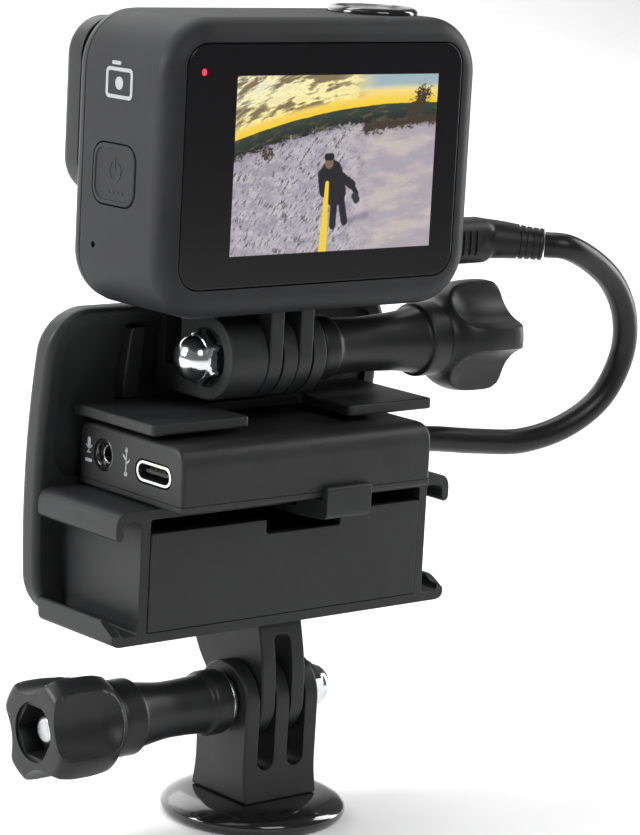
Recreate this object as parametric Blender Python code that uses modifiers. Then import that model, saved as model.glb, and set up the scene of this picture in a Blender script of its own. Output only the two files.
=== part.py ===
"""Action camera on a folding-finger mount, with a microphone-adapter holder, cable and tripod foot.

Millimetre sizes are written in a working frame whose zero is the middle of the camera's lower back
edge: +X right seen from behind the camera, +Y towards the lens, +Z up. WORK_ZERO places that frame
in the part's own frame, whose origin is the centre of the footprint on the surface it stands on.
"""
import math

import bmesh
import bpy
from mathutils import Matrix, Vector

MM = 0.001
WORK_ZERO = Vector((-2.0, -13.85, 89.0)) * MM
GAP = 0.3                                       # between pieces that touch

# Camera body
CAM_W, CAM_H = 66.3, 48.6
CAM_FRONT = 25.2                                # front face of the body, from the back face
SEAM = 22.5                                     # where rear housing meets front cover
CORNER_R = 9.5
LENS_X, LENS_Z, LENS_SIDE, LENS_FRONT = -17.5, 32.2, 29.5, 30.2
SCREEN_X, SCREEN_Z, SCREEN_W, SCREEN_H = -0.5, 24.9, 58.2, 39.4
PICTURE_X, PICTURE_Z, PICTURE_W, PICTURE_H = 1.9, 24.9, 43.0, 29.2
LED_X, LED_Z = -26.15, 40.1
SHUTTER_X, SHUTTER_Y, SHUTTER_R = 19.0, 12.8, 7.6
MODE_Y, MODE_Z, MODE_W, MODE_H = 13.7, 22.45, 11.4, 9.9
FRONT_GLASS_X, FRONT_GLASS_Z, FRONT_GLASS_W, FRONT_GLASS_H = 15.0, 27.0, 23.4, 21.4
BAY_Y, BAY_Z, BAY_W, BAY_H = 12.4, 24.7, 14.4, 37.4
USB_Y, USB_Z = 11.3, 8.9

# Finger joints: three prongs take two fingers, on one M5 screw
BLADE, PITCH = 2.9, 3.2
UPPER_X, UPPER_Y, UPPER_Z, UPPER_R = -1.6, 12.0, -8.3, 7.3
LOWER_X, LOWER_Y, LOWER_Z, LOWER_R = 0.4, 11.5, -68.1, 6.9
SCREW_R, HOLE_R = 2.5, 2.8
NUT_FLATS, NUT_HEX, NUT_DOME = 8.0, 3.3, 3.4
BOSS_OUT, POCKET = 4.6, 1.2                     # nut boss: length and depth of its hexagon pocket
WASHER_R, WASHER_T = 4.9, 0.8
KNOB_HEAD, SCOOPS, SCOOP_R, SCOOP_AT = 14.0, 4, 8.0, 14.2  # lobed head; hollows between its lobes
UPPER_KNOB, UPPER_SCOOP = 44.2, 40.0            # length from the prong face; angle of a hollow, degrees
LOWER_KNOB, LOWER_SCOOP = 39.1, 75.0
SOCKET_FLATS, SOCKET_DEEP, BORE_DEEP = 8.4, 4.0, 21.0
BOLT_IN_KNOB, BOLT_IN_NUT = 19.0, 4.2           # how far each bolt reaches into its knob and nut

# Holder
PLATE_HALF, PLATE_TOP, PLATE_BOTTOM, PLATE_R, PLATE_T = 36.5, -1.0, -54.4, 7.5, 5.0
PLATE_BOW, PLATE_BOW_Z, PLATE_FAR = 0.0035, -34.0, 32.3
BOX_FRONT = 5.0
BOX_WALL, BOX_INSIDE, LIP_OUT = 31.0, 29.2, 36.1
SHELF_TOP, SHELF_UNDER, FLOOR_TOP, BOX_BOTTOM = -31.3, -33.1, -52.3, -54.0
PANEL_TOP, PANEL_T, NOTCH_X, NOTCH_W, NOTCH_DEEP = -35.4, 1.8, 3.1, 16.2, 2.5
ROOF_TOP, ROOF_T = -17.3, 1.9
LATCH_X, LATCH_W, LATCH_PIVOT_Y, LATCH_PIVOT_Z = 5.75, 9.7, 19.0, -34.3

# Adapter
ADP_X0, ADP_X1, ADP_Y0, ADP_Y1, ADP_Z0, ADP_Z1 = -28.5, 25.0, -2.0, 26.6, -31.0, -20.3
JACK_Y, JACK_Z, PORT_Y, PORT_Z = 19.8, -25.1, 5.9, -25.7
CABLE_R, CABLE_Y, CABLE_Z = 2.3, 12.3, -26.3

# Foot
FLOOR = -89.0
DISC_R, DISC_TOP, COLUMN_DEPTH, SLOT_BOTTOM = 16.0, 4.1, 13.6, -79.5

SLOT_GAP = PITCH * 2 - BLADE                    # room between two blades of one part


def set_up():
    for old in list(bpy.data.objects):
        bpy.data.objects.remove(old, do_unlink=True)
    made = {}
    for name in ("action_camera_rig", "cutters"):
        made[name] = bpy.data.collections.new(name)
        bpy.context.scene.collection.children.link(made[name])
    return made["action_camera_rig"], made["cutters"]


PARTS, CUTTERS = set_up()


def at(x, y, z):
    """A point of the working frame, in metres in the part's frame."""
    return Vector((x, y, z)) * MM + WORK_ZERO


def make_pivot(name, x, y, z):
    empty = bpy.data.objects.new(name, None)
    empty.empty_display_size = 0.01
    empty.location = at(x, y, z)
    PARTS.objects.link(empty)
    return empty


def make_material(name, colour, roughness, metallic=0.0):
    material = bpy.data.materials.new(name)
    material.use_nodes = True
    shader = material.node_tree.nodes["Principled BSDF"]
    shader.inputs["Base Color"].default_value = (*colour, 1.0)
    shader.inputs["Roughness"].default_value = roughness
    shader.inputs["Metallic"].default_value = metallic
    return material


BLACK_RUBBER = ((0.035, 0.036, 0.039), 0.55)
BLACK_PLASTIC = ((0.030, 0.031, 0.033), 0.45)
DARK_PLASTIC = ((0.045, 0.046, 0.048), 0.50)
GLOSS_BLACK = ((0.008, 0.008, 0.009), 0.08)
CHROME = ((0.78, 0.79, 0.80), 0.12, 1.0)
STEEL = ((0.55, 0.56, 0.57), 0.30, 1.0)
BRASS = ((0.72, 0.55, 0.27), 0.35, 1.0)
BOARD_GREEN = ((0.02, 0.13, 0.06), 0.50)


def add_object(name, mesh, look, pivot=None, location=(0, 0, 0), turn=(0, 0, 0), smooth=35):
    """One object. look is a material's colour, roughness and metallic value; None makes a cutter."""
    obj = bpy.data.objects.new(name, mesh)
    obj.location = at(*location)
    obj.rotation_euler = [math.radians(a) for a in turn]
    if look is None:
        obj.hide_render = True
        obj.display_type = "WIRE"
        CUTTERS.objects.link(obj)
        return obj
    mesh.materials.append(make_material(name, *look))
    PARTS.objects.link(obj)
    if mesh.polygons:
        mesh.shade_smooth()
        mesh.set_sharp_from_angle(angle=math.radians(smooth))
    if pivot is not None:
        obj.parent = pivot
        obj.matrix_parent_inverse = Matrix.Translation(-pivot.location)
    return obj


def block(name, low, high, look, pivot=None, along="Y", radius=0.0, rim=0.0, rims=(0, 1), steps=4):
    """A box from low to high. radius rounds its four edges along one axis, and rim the edges round
    its low end (0) or high end (1) of that axis."""
    low, high = Vector(low), Vector(high)
    size, middle = (high - low) * MM, (high + low) / 2
    axis = "XYZ".index(along)
    bm = bmesh.new()
    bmesh.ops.create_cube(bm, size=1.0)
    bmesh.ops.scale(bm, vec=size, verts=bm.verts)
    if radius:
        lengthways = [e for e in bm.edges
                      if abs(e.verts[0].co[axis] - e.verts[1].co[axis]) > size[axis] / 2]
        bmesh.ops.bevel(bm, geom=lengthways, offset=radius * MM, segments=steps, profile=0.5,
                        affect="EDGES")
    if rim:
        ends = [size[axis] / 2 * (2 * end - 1) for end in rims]
        around = [e for e in bm.edges
                  if any(all(abs(v.co[axis] - end) < 1e-7 for v in e.verts) for end in ends)]
        bmesh.ops.bevel(bm, geom=around, offset=rim * MM, segments=max(2, steps // 2), profile=0.5,
                        affect="EDGES", clamp_overlap=True)
    mesh = bpy.data.meshes.new(name)
    bm.to_mesh(mesh)
    bm.free()
    return add_object(name, mesh, look, pivot, middle)


AXIS_TURN = {"+Z": (0, 0, 0), "+X": (0, 90, 0), "-X": (0, -90, 0), "+Y": (-90, 0, 0), "-Y": (90, 0, 0)}


def turned(name, profile, place, look, pivot=None, axis="+Z", closed=False, steps=20):
    """A turned piece: profile is (radius, height) from top to bottom; closed makes a ring."""
    mesh = bpy.data.meshes.new(name)
    points = [(r * MM, 0.0, h * MM) for r, h in profile]
    edges = [(i, i + 1) for i in range(len(points) - 1)]
    if closed:
        edges.append((len(points) - 1, 0))
    mesh.from_pydata(points, edges, [])
    obj = add_object(name, mesh, look, pivot, place, AXIS_TURN[axis])
    screw = obj.modifiers.new("turn", "SCREW")
    screw.axis = "Z"
    screw.angle = math.tau
    screw.steps = screw.render_steps = steps
    screw.use_merge_vertices = True
    screw.merge_threshold = 1e-6
    screw.use_smooth_shade = True
    return obj


def rod(name, radius, start, end, look, pivot=None, axis="+X", steps=20):
    """A cylinder from start, length end along axis."""
    return turned(name, [(0, end), (radius, end), (radius, 0), (0, 0)], start, look, pivot, axis,
                  steps=steps)


PLANE_TURN = {"XY": (0, 0, 0), "XZ": (90, 0, 0), "YZ": (90, 0, 90)}


def flat(name, loops, plane, centre, thickness, look, pivot=None):
    """A flat outline, with any holes, given thickness about the plane at centre."""
    curve = bpy.data.curves.new(name, "CURVE")
    curve.dimensions = "2D"
    curve.fill_mode = "BOTH"
    curve.extrude = thickness / 2 * MM
    for loop in loops:
        spline = curve.splines.new("POLY")
        spline.points.add(len(loop) - 1)
        spline.use_cyclic_u = True
        for point, (u, v) in zip(spline.points, loop):
            point.co = (u * MM, v * MM, 0.0, 1.0)
    drawn = bpy.data.objects.new(name + "_outline", curve)
    CUTTERS.objects.link(drawn)
    bpy.context.view_layer.update()
    mesh = bpy.data.meshes.new_from_object(drawn.evaluated_get(bpy.context.evaluated_depsgraph_get()))
    bpy.data.objects.remove(drawn)
    bm = bmesh.new()
    bm.from_mesh(mesh)
    bmesh.ops.remove_doubles(bm, verts=bm.verts, dist=1e-6)
    bmesh.ops.recalc_face_normals(bm, faces=bm.faces)
    bm.to_mesh(mesh)
    bm.free()
    mesh.name = name
    return add_object(name, mesh, look, pivot, centre, PLANE_TURN[plane])


def boolean(target, tool, operation="DIFFERENCE"):
    modifier = target.modifiers.new(tool.name, "BOOLEAN")
    modifier.operation = operation
    modifier.solver = "EXACT"
    modifier.object = tool
    return target


def arc(u, v, radius, start, end, count):
    """count + 1 points round (u, v), angles in degrees."""
    return [(u + radius * math.cos(math.radians(start + (end - start) * i / count)),
             v + radius * math.sin(math.radians(start + (end - start) * i / count)))
            for i in range(count + 1)]


def hexagon(name, flats, start, length, look, axis="+X"):
    """A hexagonal prism from start along axis."""
    return turned(name, [(0, length), (flats / math.sqrt(3), length), (flats / math.sqrt(3), 0),
                         (0, 0)], start, look, None, axis, steps=6)


def plate_near(z):
    """Y of the back plate's face towards the camera screen, at height z."""
    return PLATE_FAR - PLATE_BOW * (z - PLATE_BOW_Z) ** 2 - PLATE_T


# ---------------------------------------------------------------- camera

def build_camera(pivot):
    half = CAM_W / 2
    housing = block("camera_rear_housing", (-half, 0, 0), (half, SEAM, CAM_H), BLACK_RUBBER, pivot,
                    radius=CORNER_R, rim=3.5, rims=(0,), steps=6)
    wall, floor = 2.1, 4.6
    cuts = [
        block("cut_cavity", (wall - half, 2.4, floor), (half - wall, SEAM + 1, CAM_H - wall), None,
              radius=CORNER_R - wall),
        block("cut_screen_seat", (SCREEN_X - SCREEN_W / 2 - GAP, -1, SCREEN_Z - SCREEN_H / 2 - GAP),
              (SCREEN_X + SCREEN_W / 2 + GAP, 1.1, SCREEN_Z + SCREEN_H / 2 + GAP), None, radius=4.3),
        block("cut_picture_window", (PICTURE_X - PICTURE_W / 2 - GAP, 0, PICTURE_Z - PICTURE_H / 2 - GAP),
              (PICTURE_X + PICTURE_W / 2 + GAP, 3, PICTURE_Z + PICTURE_H / 2 + GAP), None),
        block("cut_mode", (-half - 1, MODE_Y - MODE_W / 2 - 0.4, MODE_Z - MODE_H / 2 - 0.4),
              (wall - half + 1, MODE_Y + MODE_W / 2 + 0.4, MODE_Z + MODE_H / 2 + 0.4), None,
              along="X", radius=3.0),
        rod("cut_shutter", SHUTTER_R + 0.4, (SHUTTER_X, SHUTTER_Y, CAM_H - 4), 6, None, axis="+Z",
            steps=24),
        block("cut_side_bay", (half - wall - 6, BAY_Y - BAY_W / 2, BAY_Z - BAY_H / 2),
              (half + 1, BAY_Y + BAY_W / 2, BAY_Z + BAY_H / 2), None, along="X", radius=2.5),
        block("cut_finger_tray", (UPPER_X - 15, 4.2, -1), (UPPER_X + 15, 19.8, 3.4), None, along="Z",
              radius=3.0),
    ]
    for cut in cuts:
        boolean(housing, cut)

    cover = block("camera_front_cover", (-half, SEAM + GAP, 0), (half, CAM_FRONT, CAM_H), BLACK_PLASTIC,
                  pivot, radius=CORNER_R, rim=1.6, rims=(1,), steps=6)
    boolean(cover, rod("cut_lens_way", 9.3, (LENS_X, SEAM, LENS_Z), 4, None, axis="+Y"))
    boolean(cover, block("cut_front_glass", (FRONT_GLASS_X - FRONT_GLASS_W / 2 - GAP, CAM_FRONT - 1,
                                             FRONT_GLASS_Z - FRONT_GLASS_H / 2 - GAP),
                         (FRONT_GLASS_X + FRONT_GLASS_W / 2 + GAP, CAM_FRONT + 1,
                          FRONT_GLASS_Z + FRONT_GLASS_H / 2 + GAP), None, radius=2.0))
    boolean(cover, rod("cut_front_light", 0.95, (7.0, CAM_FRONT - 1, 43.2), 2, None, axis="+Y", steps=12))

    reach = LENS_SIDE / 2
    bezel = block("lens_bezel", (LENS_X - reach, CAM_FRONT + GAP, LENS_Z - reach),
                  (LENS_X + reach, LENS_FRONT, LENS_Z + reach), BLACK_PLASTIC, pivot, radius=6.0,
                  rim=1.8, rims=(1,))
    boolean(bezel, rod("cut_bezel_bore", 9.3, (LENS_X, CAM_FRONT - 1, LENS_Z), 8, None, axis="+Y"))
    boolean(bezel, rod("cut_glass_seat", 11.4, (LENS_X, LENS_FRONT - 1.9, LENS_Z), 4, None, axis="+Y"))
    rod("lens_cover_glass", 11.0, (LENS_X, LENS_FRONT - 1.55, LENS_Z), 1.3, GLOSS_BLACK, pivot, "+Y", 28)
    turned("lens_barrel", [(0, 3.6), (7.3, 3.6), (7.3, 12.0), (8.8, 12.0), (8.8, 0.0), (0, 0)],
           (LENS_X, 16.2, LENS_Z), BLACK_PLASTIC, pivot, "+Y")
    dome = [(0, 4.6)] + [(6.9 * math.sin(a), 1.6 + 3.0 * math.cos(a))
                         for a in (0.5, 1.0, math.pi / 2)] + [(6.9, 0), (0, 0)]
    turned("lens_front_element", dome, (LENS_X, 20.3, LENS_Z), GLOSS_BLACK, pivot, "+Y")
    block("sensor_board", (LENS_X - 8.2, 14.5, LENS_Z - 8.2), (LENS_X + 8.2, 15.7, LENS_Z + 8.2),
          BOARD_GREEN, pivot)
    block("main_board", (-28.5, 4.3, 8.5), (28.0, 5.5, 43.5), BOARD_GREEN, pivot, radius=3.0, steps=2)

    glass = block("rear_screen_glass", (SCREEN_X - SCREEN_W / 2, 0, SCREEN_Z - SCREEN_H / 2),
                  (SCREEN_X + SCREEN_W / 2, 0.8, SCREEN_Z + SCREEN_H / 2), GLOSS_BLACK, pivot, radius=4.0)
    boolean(glass, rod("cut_light_way", 0.9, (LED_X, -1, LED_Z), 3, None, axis="+Y", steps=12))
    rod("rear_status_light", 0.6, (LED_X, 0.05, LED_Z), 0.75, ((0.9, 0.05, 0.04), 0.3), pivot, "+Y", 12)
    block("rear_display_panel", (PICTURE_X - PICTURE_W / 2, 1.15, PICTURE_Z - PICTURE_H / 2),
          (PICTURE_X + PICTURE_W / 2, 3.7, PICTURE_Z + PICTURE_H / 2), ((0.35, 0.38, 0.42), 0.3), pivot)
    block("front_display_glass", (FRONT_GLASS_X - FRONT_GLASS_W / 2, CAM_FRONT - 0.7,
                                  FRONT_GLASS_Z - FRONT_GLASS_H / 2),
          (FRONT_GLASS_X + FRONT_GLASS_W / 2, CAM_FRONT, FRONT_GLASS_Z + FRONT_GLASS_H / 2),
          GLOSS_BLACK, pivot, radius=1.7, steps=3)
    rod("front_status_light", 0.6, (7.0, CAM_FRONT - 0.7, 43.2), 0.7, ((0.8, 0.2, 0.1), 0.3), pivot,
        "+Y", 12)
    build_camera_bay(pivot)
    build_fingers(pivot)


def build_camera_bay(pivot):
    """The socket inside the open side bay, with the metal tongue of the cable's plug in it."""
    port = block("camera_usb_port", (24.0, USB_Y - 4.85, USB_Z - 1.9), (30.6, USB_Y + 4.85, USB_Z + 1.9),
                 STEEL, pivot, along="X", radius=1.7)
    boolean(port, block("cut_usb_mouth", (22.0, USB_Y - 4.5, USB_Z - 1.55),
                        (32.0, USB_Y + 4.5, USB_Z + 1.55), None, along="X", radius=1.4))
    block("plug_metal_shell", (25.0, USB_Y - 4.15, USB_Z - 1.2), (34.2, USB_Y + 4.15, USB_Z + 1.2),
          STEEL, pivot, along="X", radius=1.15)


def build_camera_controls(shutter_pivot, mode_pivot, battery_pivot, card_pivot):
    turned("shutter_button", [(0, 3.0), (SHUTTER_R - 1.0, 3.0), (SHUTTER_R, 2.3), (SHUTTER_R, 0),
                              (0, 0)], (SHUTTER_X, SHUTTER_Y, CAM_H - 1.9), BLACK_PLASTIC,
           shutter_pivot, steps=28)
    block("mode_button", (-CAM_W / 2 - 0.05, MODE_Y - MODE_W / 2, MODE_Z - MODE_H / 2),
          (-CAM_W / 2 + 1.7, MODE_Y + MODE_W / 2, MODE_Z + MODE_H / 2), BLACK_PLASTIC, mode_pivot,
          along="X", radius=2.6, rim=0.4, rims=(0,))
    block("battery", (-8.0, 6.4, 13.5), (29.3, 17.4, 41.7), ((0.06, 0.06, 0.065), 0.5), battery_pivot,
          along="X", radius=1.2, steps=2)
    block("battery_pull_tab", (29.6, 8.0, 24.0), (31.4, 15.8, 31.0), ((0.05, 0.20, 0.55), 0.5),
          battery_pivot)
    block("memory_card", (14.5, 18.3, 20.0), (29.5, 19.1, 31.0), ((0.02, 0.02, 0.025), 0.4), card_pivot)


def build_fingers(pivot):
    """Two folding fingers under the camera, each hinged on its own pin in the tray."""
    for side, x in (("left", UPPER_X - PITCH), ("right", UPPER_X + PITCH)):
        outline = arc(UPPER_Y, UPPER_Z, UPPER_R, 180, 360, 10)
        outline += [(UPPER_Y + UPPER_R, 3.0), (UPPER_Y - UPPER_R, 3.0)]
        hole = arc(UPPER_Y, UPPER_Z, HOLE_R, 0, 360, 16)[:-1]
        finger = flat("mount_finger_" + side, [outline, hole], "YZ", (x, 0, 0), BLADE, BLACK_PLASTIC,
                      pivot)
        boolean(finger, rod("cut_pin_" + side, 1.0, (x, 3.0, 1.5), 18, None, axis="+Y", steps=10))
        rod("finger_pin_" + side, 0.7, (x, 4.5, 1.5), 15.0, STEEL, pivot, "+Y", 10)


# ---------------------------------------------------------------- holder

def bowed(name, half_width, top, bottom, radius, near, far, look, pivot=None):
    """An upright rounded plate between near and far, which follow the plate's bow along its height."""
    heights = [bottom + (top - bottom) * i / 8 for i in range(9)]
    curve = [(PLATE_BOW * (z - PLATE_BOW_Z) ** 2, z) for z in heights]
    outline = [(near - bow, z) for bow, z in curve] + [(far - bow, z) for bow, z in reversed(curve)]
    plate = flat(name, [outline], "YZ", (0, 0, 0), 2 * half_width, look, pivot)
    shape = block("keep_" + name, (-half_width - 0.01, near - 12, bottom - 0.01),
                  (half_width + 0.01, far + 12, top + 0.01), None, radius=radius, steps=4)
    return boolean(plate, shape, "INTERSECT")


def build_back_plate(pivot):
    near = PLATE_FAR - PLATE_T
    plate = bowed("back_plate", PLATE_HALF, PLATE_TOP, PLATE_BOTTOM, PLATE_R, near, PLATE_FAR,
                  DARK_PLASTIC, pivot)
    rim = 3.4
    boolean(plate, bowed("cut_plate_face", PLATE_HALF - rim, PLATE_TOP - rim, SHELF_TOP + 1.0, 4.5,
                         near - 3, near + 1.2, None))


def build_box(pivot):
    """The adapter's box: a tube with a hooked lip along each edge, open in front."""
    right = [(35.2, BOX_BOTTOM), (LIP_OUT, -53.1), (LIP_OUT, -50.5), (35.5, -49.9), (34.6, -50.4),
             (34.6, FLOOR_TOP + 0.4), (34.2, FLOOR_TOP), (BOX_WALL, FLOOR_TOP),
             (BOX_WALL, SHELF_UNDER), (33.9, SHELF_UNDER), (34.5, -33.8), (34.5, -35.7), (35.0, -36.4),
             (LIP_OUT, -35.9), (LIP_OUT, -33.0), (35.6, -31.9), (34.3, SHELF_TOP)]
    outline = right + [(-u, v) for u, v in reversed(right)]
    inside = [(-BOX_INSIDE, FLOOR_TOP), (-BOX_INSIDE, SHELF_UNDER), (BOX_INSIDE, SHELF_UNDER),
              (BOX_INSIDE, FLOOR_TOP)]
    back = 30.0
    frame = flat("box_frame", [outline, inside], "XZ", (0, (BOX_FRONT + back) / 2, 0), back - BOX_FRONT,
                 DARK_PLASTIC, pivot)
    boolean(frame, bowed("cut_box_back", PLATE_HALF + 3, SHELF_TOP + 6, BOX_BOTTOM - 6, 0,
                         PLATE_FAR - PLATE_T - GAP, PLATE_FAR + 8, None))

    panel = block("front_panel", (GAP - BOX_INSIDE, BOX_FRONT - 0.2, FLOOR_TOP + GAP),
                  (BOX_INSIDE - GAP, BOX_FRONT + PANEL_T, PANEL_TOP), DARK_PLASTIC, pivot)
    boolean(panel, block("cut_latch_notch", (NOTCH_X - NOTCH_W / 2, BOX_FRONT - 2, PANEL_TOP - NOTCH_DEEP),
                         (NOTCH_X + NOTCH_W / 2, BOX_FRONT + 4, PANEL_TOP + 2), None))


def build_roof(pivot):
    """The shelf over the adapter, with a square notch in its front edge."""
    near, far, left, right = 4.5, plate_near(ROOF_TOP) - GAP, -30.0, 30.5
    notch_left, notch_right, notch_back = -10.0, 11.5, 17.3
    outline = [(left, far), (left, near), (notch_left, near), (notch_left, notch_back),
               (notch_right, notch_back), (notch_right, near), (right, near), (right, far)]
    flat("adapter_roof", [outline], "XY", (0, 0, ROOF_TOP - ROOF_T / 2), ROOF_T, DARK_PLASTIC, pivot)
    heights = [ROOF_TOP + GAP + (-5.2 - ROOF_TOP - GAP) * i / 4 for i in range(5)]
    rib = [(plate_near(z) + 0.9, z) for z in heights] + [(plate_near(z) - 0.8, z) for z in heights[::-1]]
    flat("plate_rib", [rib], "YZ", (-19.4, 0, 0), 3.2, DARK_PLASTIC, pivot)


def build_upper_prongs(pivot):
    """Three prongs on a block that stands out from the plate, with a nut boss on the left."""
    x0 = UPPER_X - PITCH * 2 - BLADE / 2 - BOSS_OUT
    x1 = UPPER_X + PITCH * 2 + BLADE / 2
    under, over = UPPER_Z - UPPER_R, UPPER_Z + UPPER_R
    outline = arc(UPPER_Y, UPPER_Z, UPPER_R, 90, 270, 12)
    outline += [(plate_near(z) - GAP, z) for z in (under, under + 4, UPPER_Z, over - 3.4, over - 0.8)]
    outline += [(plate_near(over) - 2.0, over)]
    mount = flat("upper_prong_mount", [outline], "YZ", ((x0 + x1) / 2, 0, 0), x1 - x0, DARK_PLASTIC, pivot)
    for x in (UPPER_X - PITCH, UPPER_X + PITCH):
        boolean(mount, block(f"cut_finger_way_{x:.0f}", (x - SLOT_GAP / 2, 0, under - 2),
                             (x + SLOT_GAP / 2, UPPER_Y + UPPER_R + 1.1, over + 2), None))
    boolean(mount, rod("cut_upper_bolt", HOLE_R, (x0 - 1, UPPER_Y, UPPER_Z), x1 - x0 + 2, None))
    boolean(mount, hexagon("cut_nut_pocket", NUT_FLATS + 2 * GAP, (x0 - 1, UPPER_Y, UPPER_Z),
                           POCKET + 1, None))
    boolean(mount, block("cut_arm_side", (x0 - 1, 19.0, UPPER_Z - 2.7), (x0 + 3.6, 23.6, over - 1.6),
                         None))


def build_lower_prongs(pivot):
    """Two prongs that hang from the box on a common pad and taper to the lower screw."""
    top = BOX_BOTTOM - GAP
    x0, x1 = LOWER_X - PITCH - BLADE / 2, LOWER_X + PITCH + BLADE / 2
    outline = arc(LOWER_Y, LOWER_Z, LOWER_R, 180, 338, 9)
    outline += [(22.6, -62.6), (25.2, -58.0), (25.2, top), (6.4, top)]
    mount = flat("lower_prong_mount", [outline], "YZ", ((x0 + x1) / 2, 0, 0), x1 - x0, DARK_PLASTIC, pivot)
    boolean(mount, block("cut_between_lower", (LOWER_X - SLOT_GAP / 2, 0, LOWER_Z - 12),
                         (LOWER_X + SLOT_GAP / 2, 30, top - 2.2), None))
    boolean(mount, rod("cut_lower_bolt", HOLE_R, (x0 - 1, LOWER_Y, LOWER_Z), x1 - x0 + 2, None))


def build_latch(pivot):
    """A springy leaf under the shelf whose hook stands in front of the adapter."""
    front, hook_top, arm_top, under, leaf_top = -3.6, -29.0, ADP_Z0 - 0.35, -35.1, -33.5
    outline = [(front, under + 0.5), (4.6, under), (LATCH_PIVOT_Y + 1.5, under),
               (LATCH_PIVOT_Y + 1.5, leaf_top), (4.6, leaf_top), (4.6, arm_top),
               (ADP_Y0 - GAP, arm_top), (ADP_Y0 - GAP, hook_top), (front + 0.4, hook_top),
               (front, hook_top - 0.5)]
    flat("adapter_latch", [outline], "YZ", (LATCH_X, 0, 0), LATCH_W, DARK_PLASTIC, pivot)


# ---------------------------------------------------------------- adapter and cable

def build_adapter(pivot):
    split = ADP_Z0 + 1.2
    cover = block("adapter_cover", (ADP_X0, ADP_Y0, split), (ADP_X1, ADP_Y1, ADP_Z1), DARK_PLASTIC, pivot,
                  along="Z", radius=2.0, rim=1.8, rims=(1,))
    wall = 1.5
    boolean(cover, block("cut_adapter_inside", (ADP_X0 + wall, ADP_Y0 + wall, split - 1),
                         (ADP_X1 - wall, ADP_Y1 - wall, ADP_Z1 - wall), None, along="Z", radius=0.6,
                         steps=2))
    boolean(cover, rod("cut_jack_way", 2.9, (ADP_X0 - 1, JACK_Y, JACK_Z), 4, None))
    boolean(cover, block("cut_port_way", (ADP_X0 - 1, PORT_Y - 5.0, PORT_Z - 2.1),
                         (ADP_X0 + 3, PORT_Y + 5.0, PORT_Z + 2.1), None, along="X", radius=2.0))
    block("adapter_base", (ADP_X0, ADP_Y0, ADP_Z0), (ADP_X1, ADP_Y1, split - GAP), DARK_PLASTIC, pivot,
          along="Z", radius=2.0)
    block("adapter_circuit_board", (ADP_X0 + 2.2, ADP_Y0 + 2.2, -29.3), (ADP_X1 - 2.2, ADP_Y1 - 2.2, -28.2),
          BOARD_GREEN, pivot)
    turned("mic_jack_socket", [(0, 1.2), (1.75, 1.2), (1.75, 12.0), (2.6, 12.0), (2.6, 0.0), (0, 0.0)],
           (ADP_X0 + 12.2, JACK_Y, JACK_Z), ((0.02, 0.02, 0.02), 0.4), pivot, "-X", steps=18)
    shell = block("adapter_usb_shell", (ADP_X0 + 0.1, PORT_Y - 4.7, PORT_Z - 1.8),
                  (ADP_X0 + 7.5, PORT_Y + 4.7, PORT_Z + 1.8), STEEL, pivot, along="X", radius=1.7)
    boolean(shell, block("cut_port_mouth", (ADP_X0 - 1, PORT_Y - 4.25, PORT_Z - 1.35),
                         (ADP_X0 + 6.7, PORT_Y + 4.25, PORT_Z + 1.35), None, along="X", radius=1.3))
    block("adapter_usb_tongue", (ADP_X0 + 0.9, PORT_Y - 3.3, PORT_Z - 0.35),
          (ADP_X0 + 6.4, PORT_Y + 3.3, PORT_Z + 0.35), ((0.01, 0.01, 0.01), 0.4), pivot)
    relief = [(0, 7.4), (2.7, 7.4), (3.1, 6.2), (3.6, 1.2), (4.2, 1.0), (4.2, 0), (0, 0)]
    turned("adapter_strain_relief", relief, (ADP_X1 + GAP, CABLE_Y, CABLE_Z), BLACK_RUBBER, pivot, "+X",
           steps=18)


# The plug's elbow points along these, and the cable runs from the adapter round to meet it.
ELBOW_ROOT, ELBOW_TIP = Vector((46.6, 11.5, 9.1)), Vector((55.0, 5.0, 8.4))
ELBOW_WAY = (ELBOW_TIP - ELBOW_ROOT).normalized()
CABLE_ROUTE = [(33.0, 12.3, -26.3), (38.5, 11.9, -26.6), (47.5, 10.9, -27.6), (57.5, 9.6, -28.1),
               (67.0, 8.1, -25.7), (74.0, 6.6, -20.6), (77.2, 5.3, -12.8), (76.0, 4.2, -5.4),
               (71.6, 3.3, 0.8), (65.2, 2.4, 5.2), ELBOW_TIP + ELBOW_WAY * 4.5,
               ELBOW_TIP + ELBOW_WAY * GAP]


def smooth_course(points, spacing):
    """Evenly spaced points on a Catmull-Rom curve through the given ones."""
    knots = [Vector(p) for p in points]
    knots = [knots[0] * 2 - knots[1]] + knots + [knots[-1] * 2 - knots[-2]]
    fine = []
    for a, b, c, d in zip(knots, knots[1:], knots[2:], knots[3:]):
        for i in range(20):
            t = i / 20
            fine.append(0.5 * (2 * b + (c - a) * t + (2 * a - 5 * b + 4 * c - d) * t ** 2
                               + (3 * b - a - 3 * c + d) * t ** 3))
    fine.append(knots[-2])
    lengths = [0.0]
    for a, b in zip(fine, fine[1:]):
        lengths.append(lengths[-1] + (b - a).length)
    count = round(lengths[-1] / spacing)
    course, k = [], 0
    for i in range(count + 1):
        want = lengths[-1] * i / count
        while k < len(fine) - 2 and lengths[k + 1] < want:
            k += 1
        share = (want - lengths[k]) / max(lengths[k + 1] - lengths[k], 1e-9)
        course.append(fine[k].lerp(fine[k + 1], min(1.0, share)))
    return course


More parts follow.
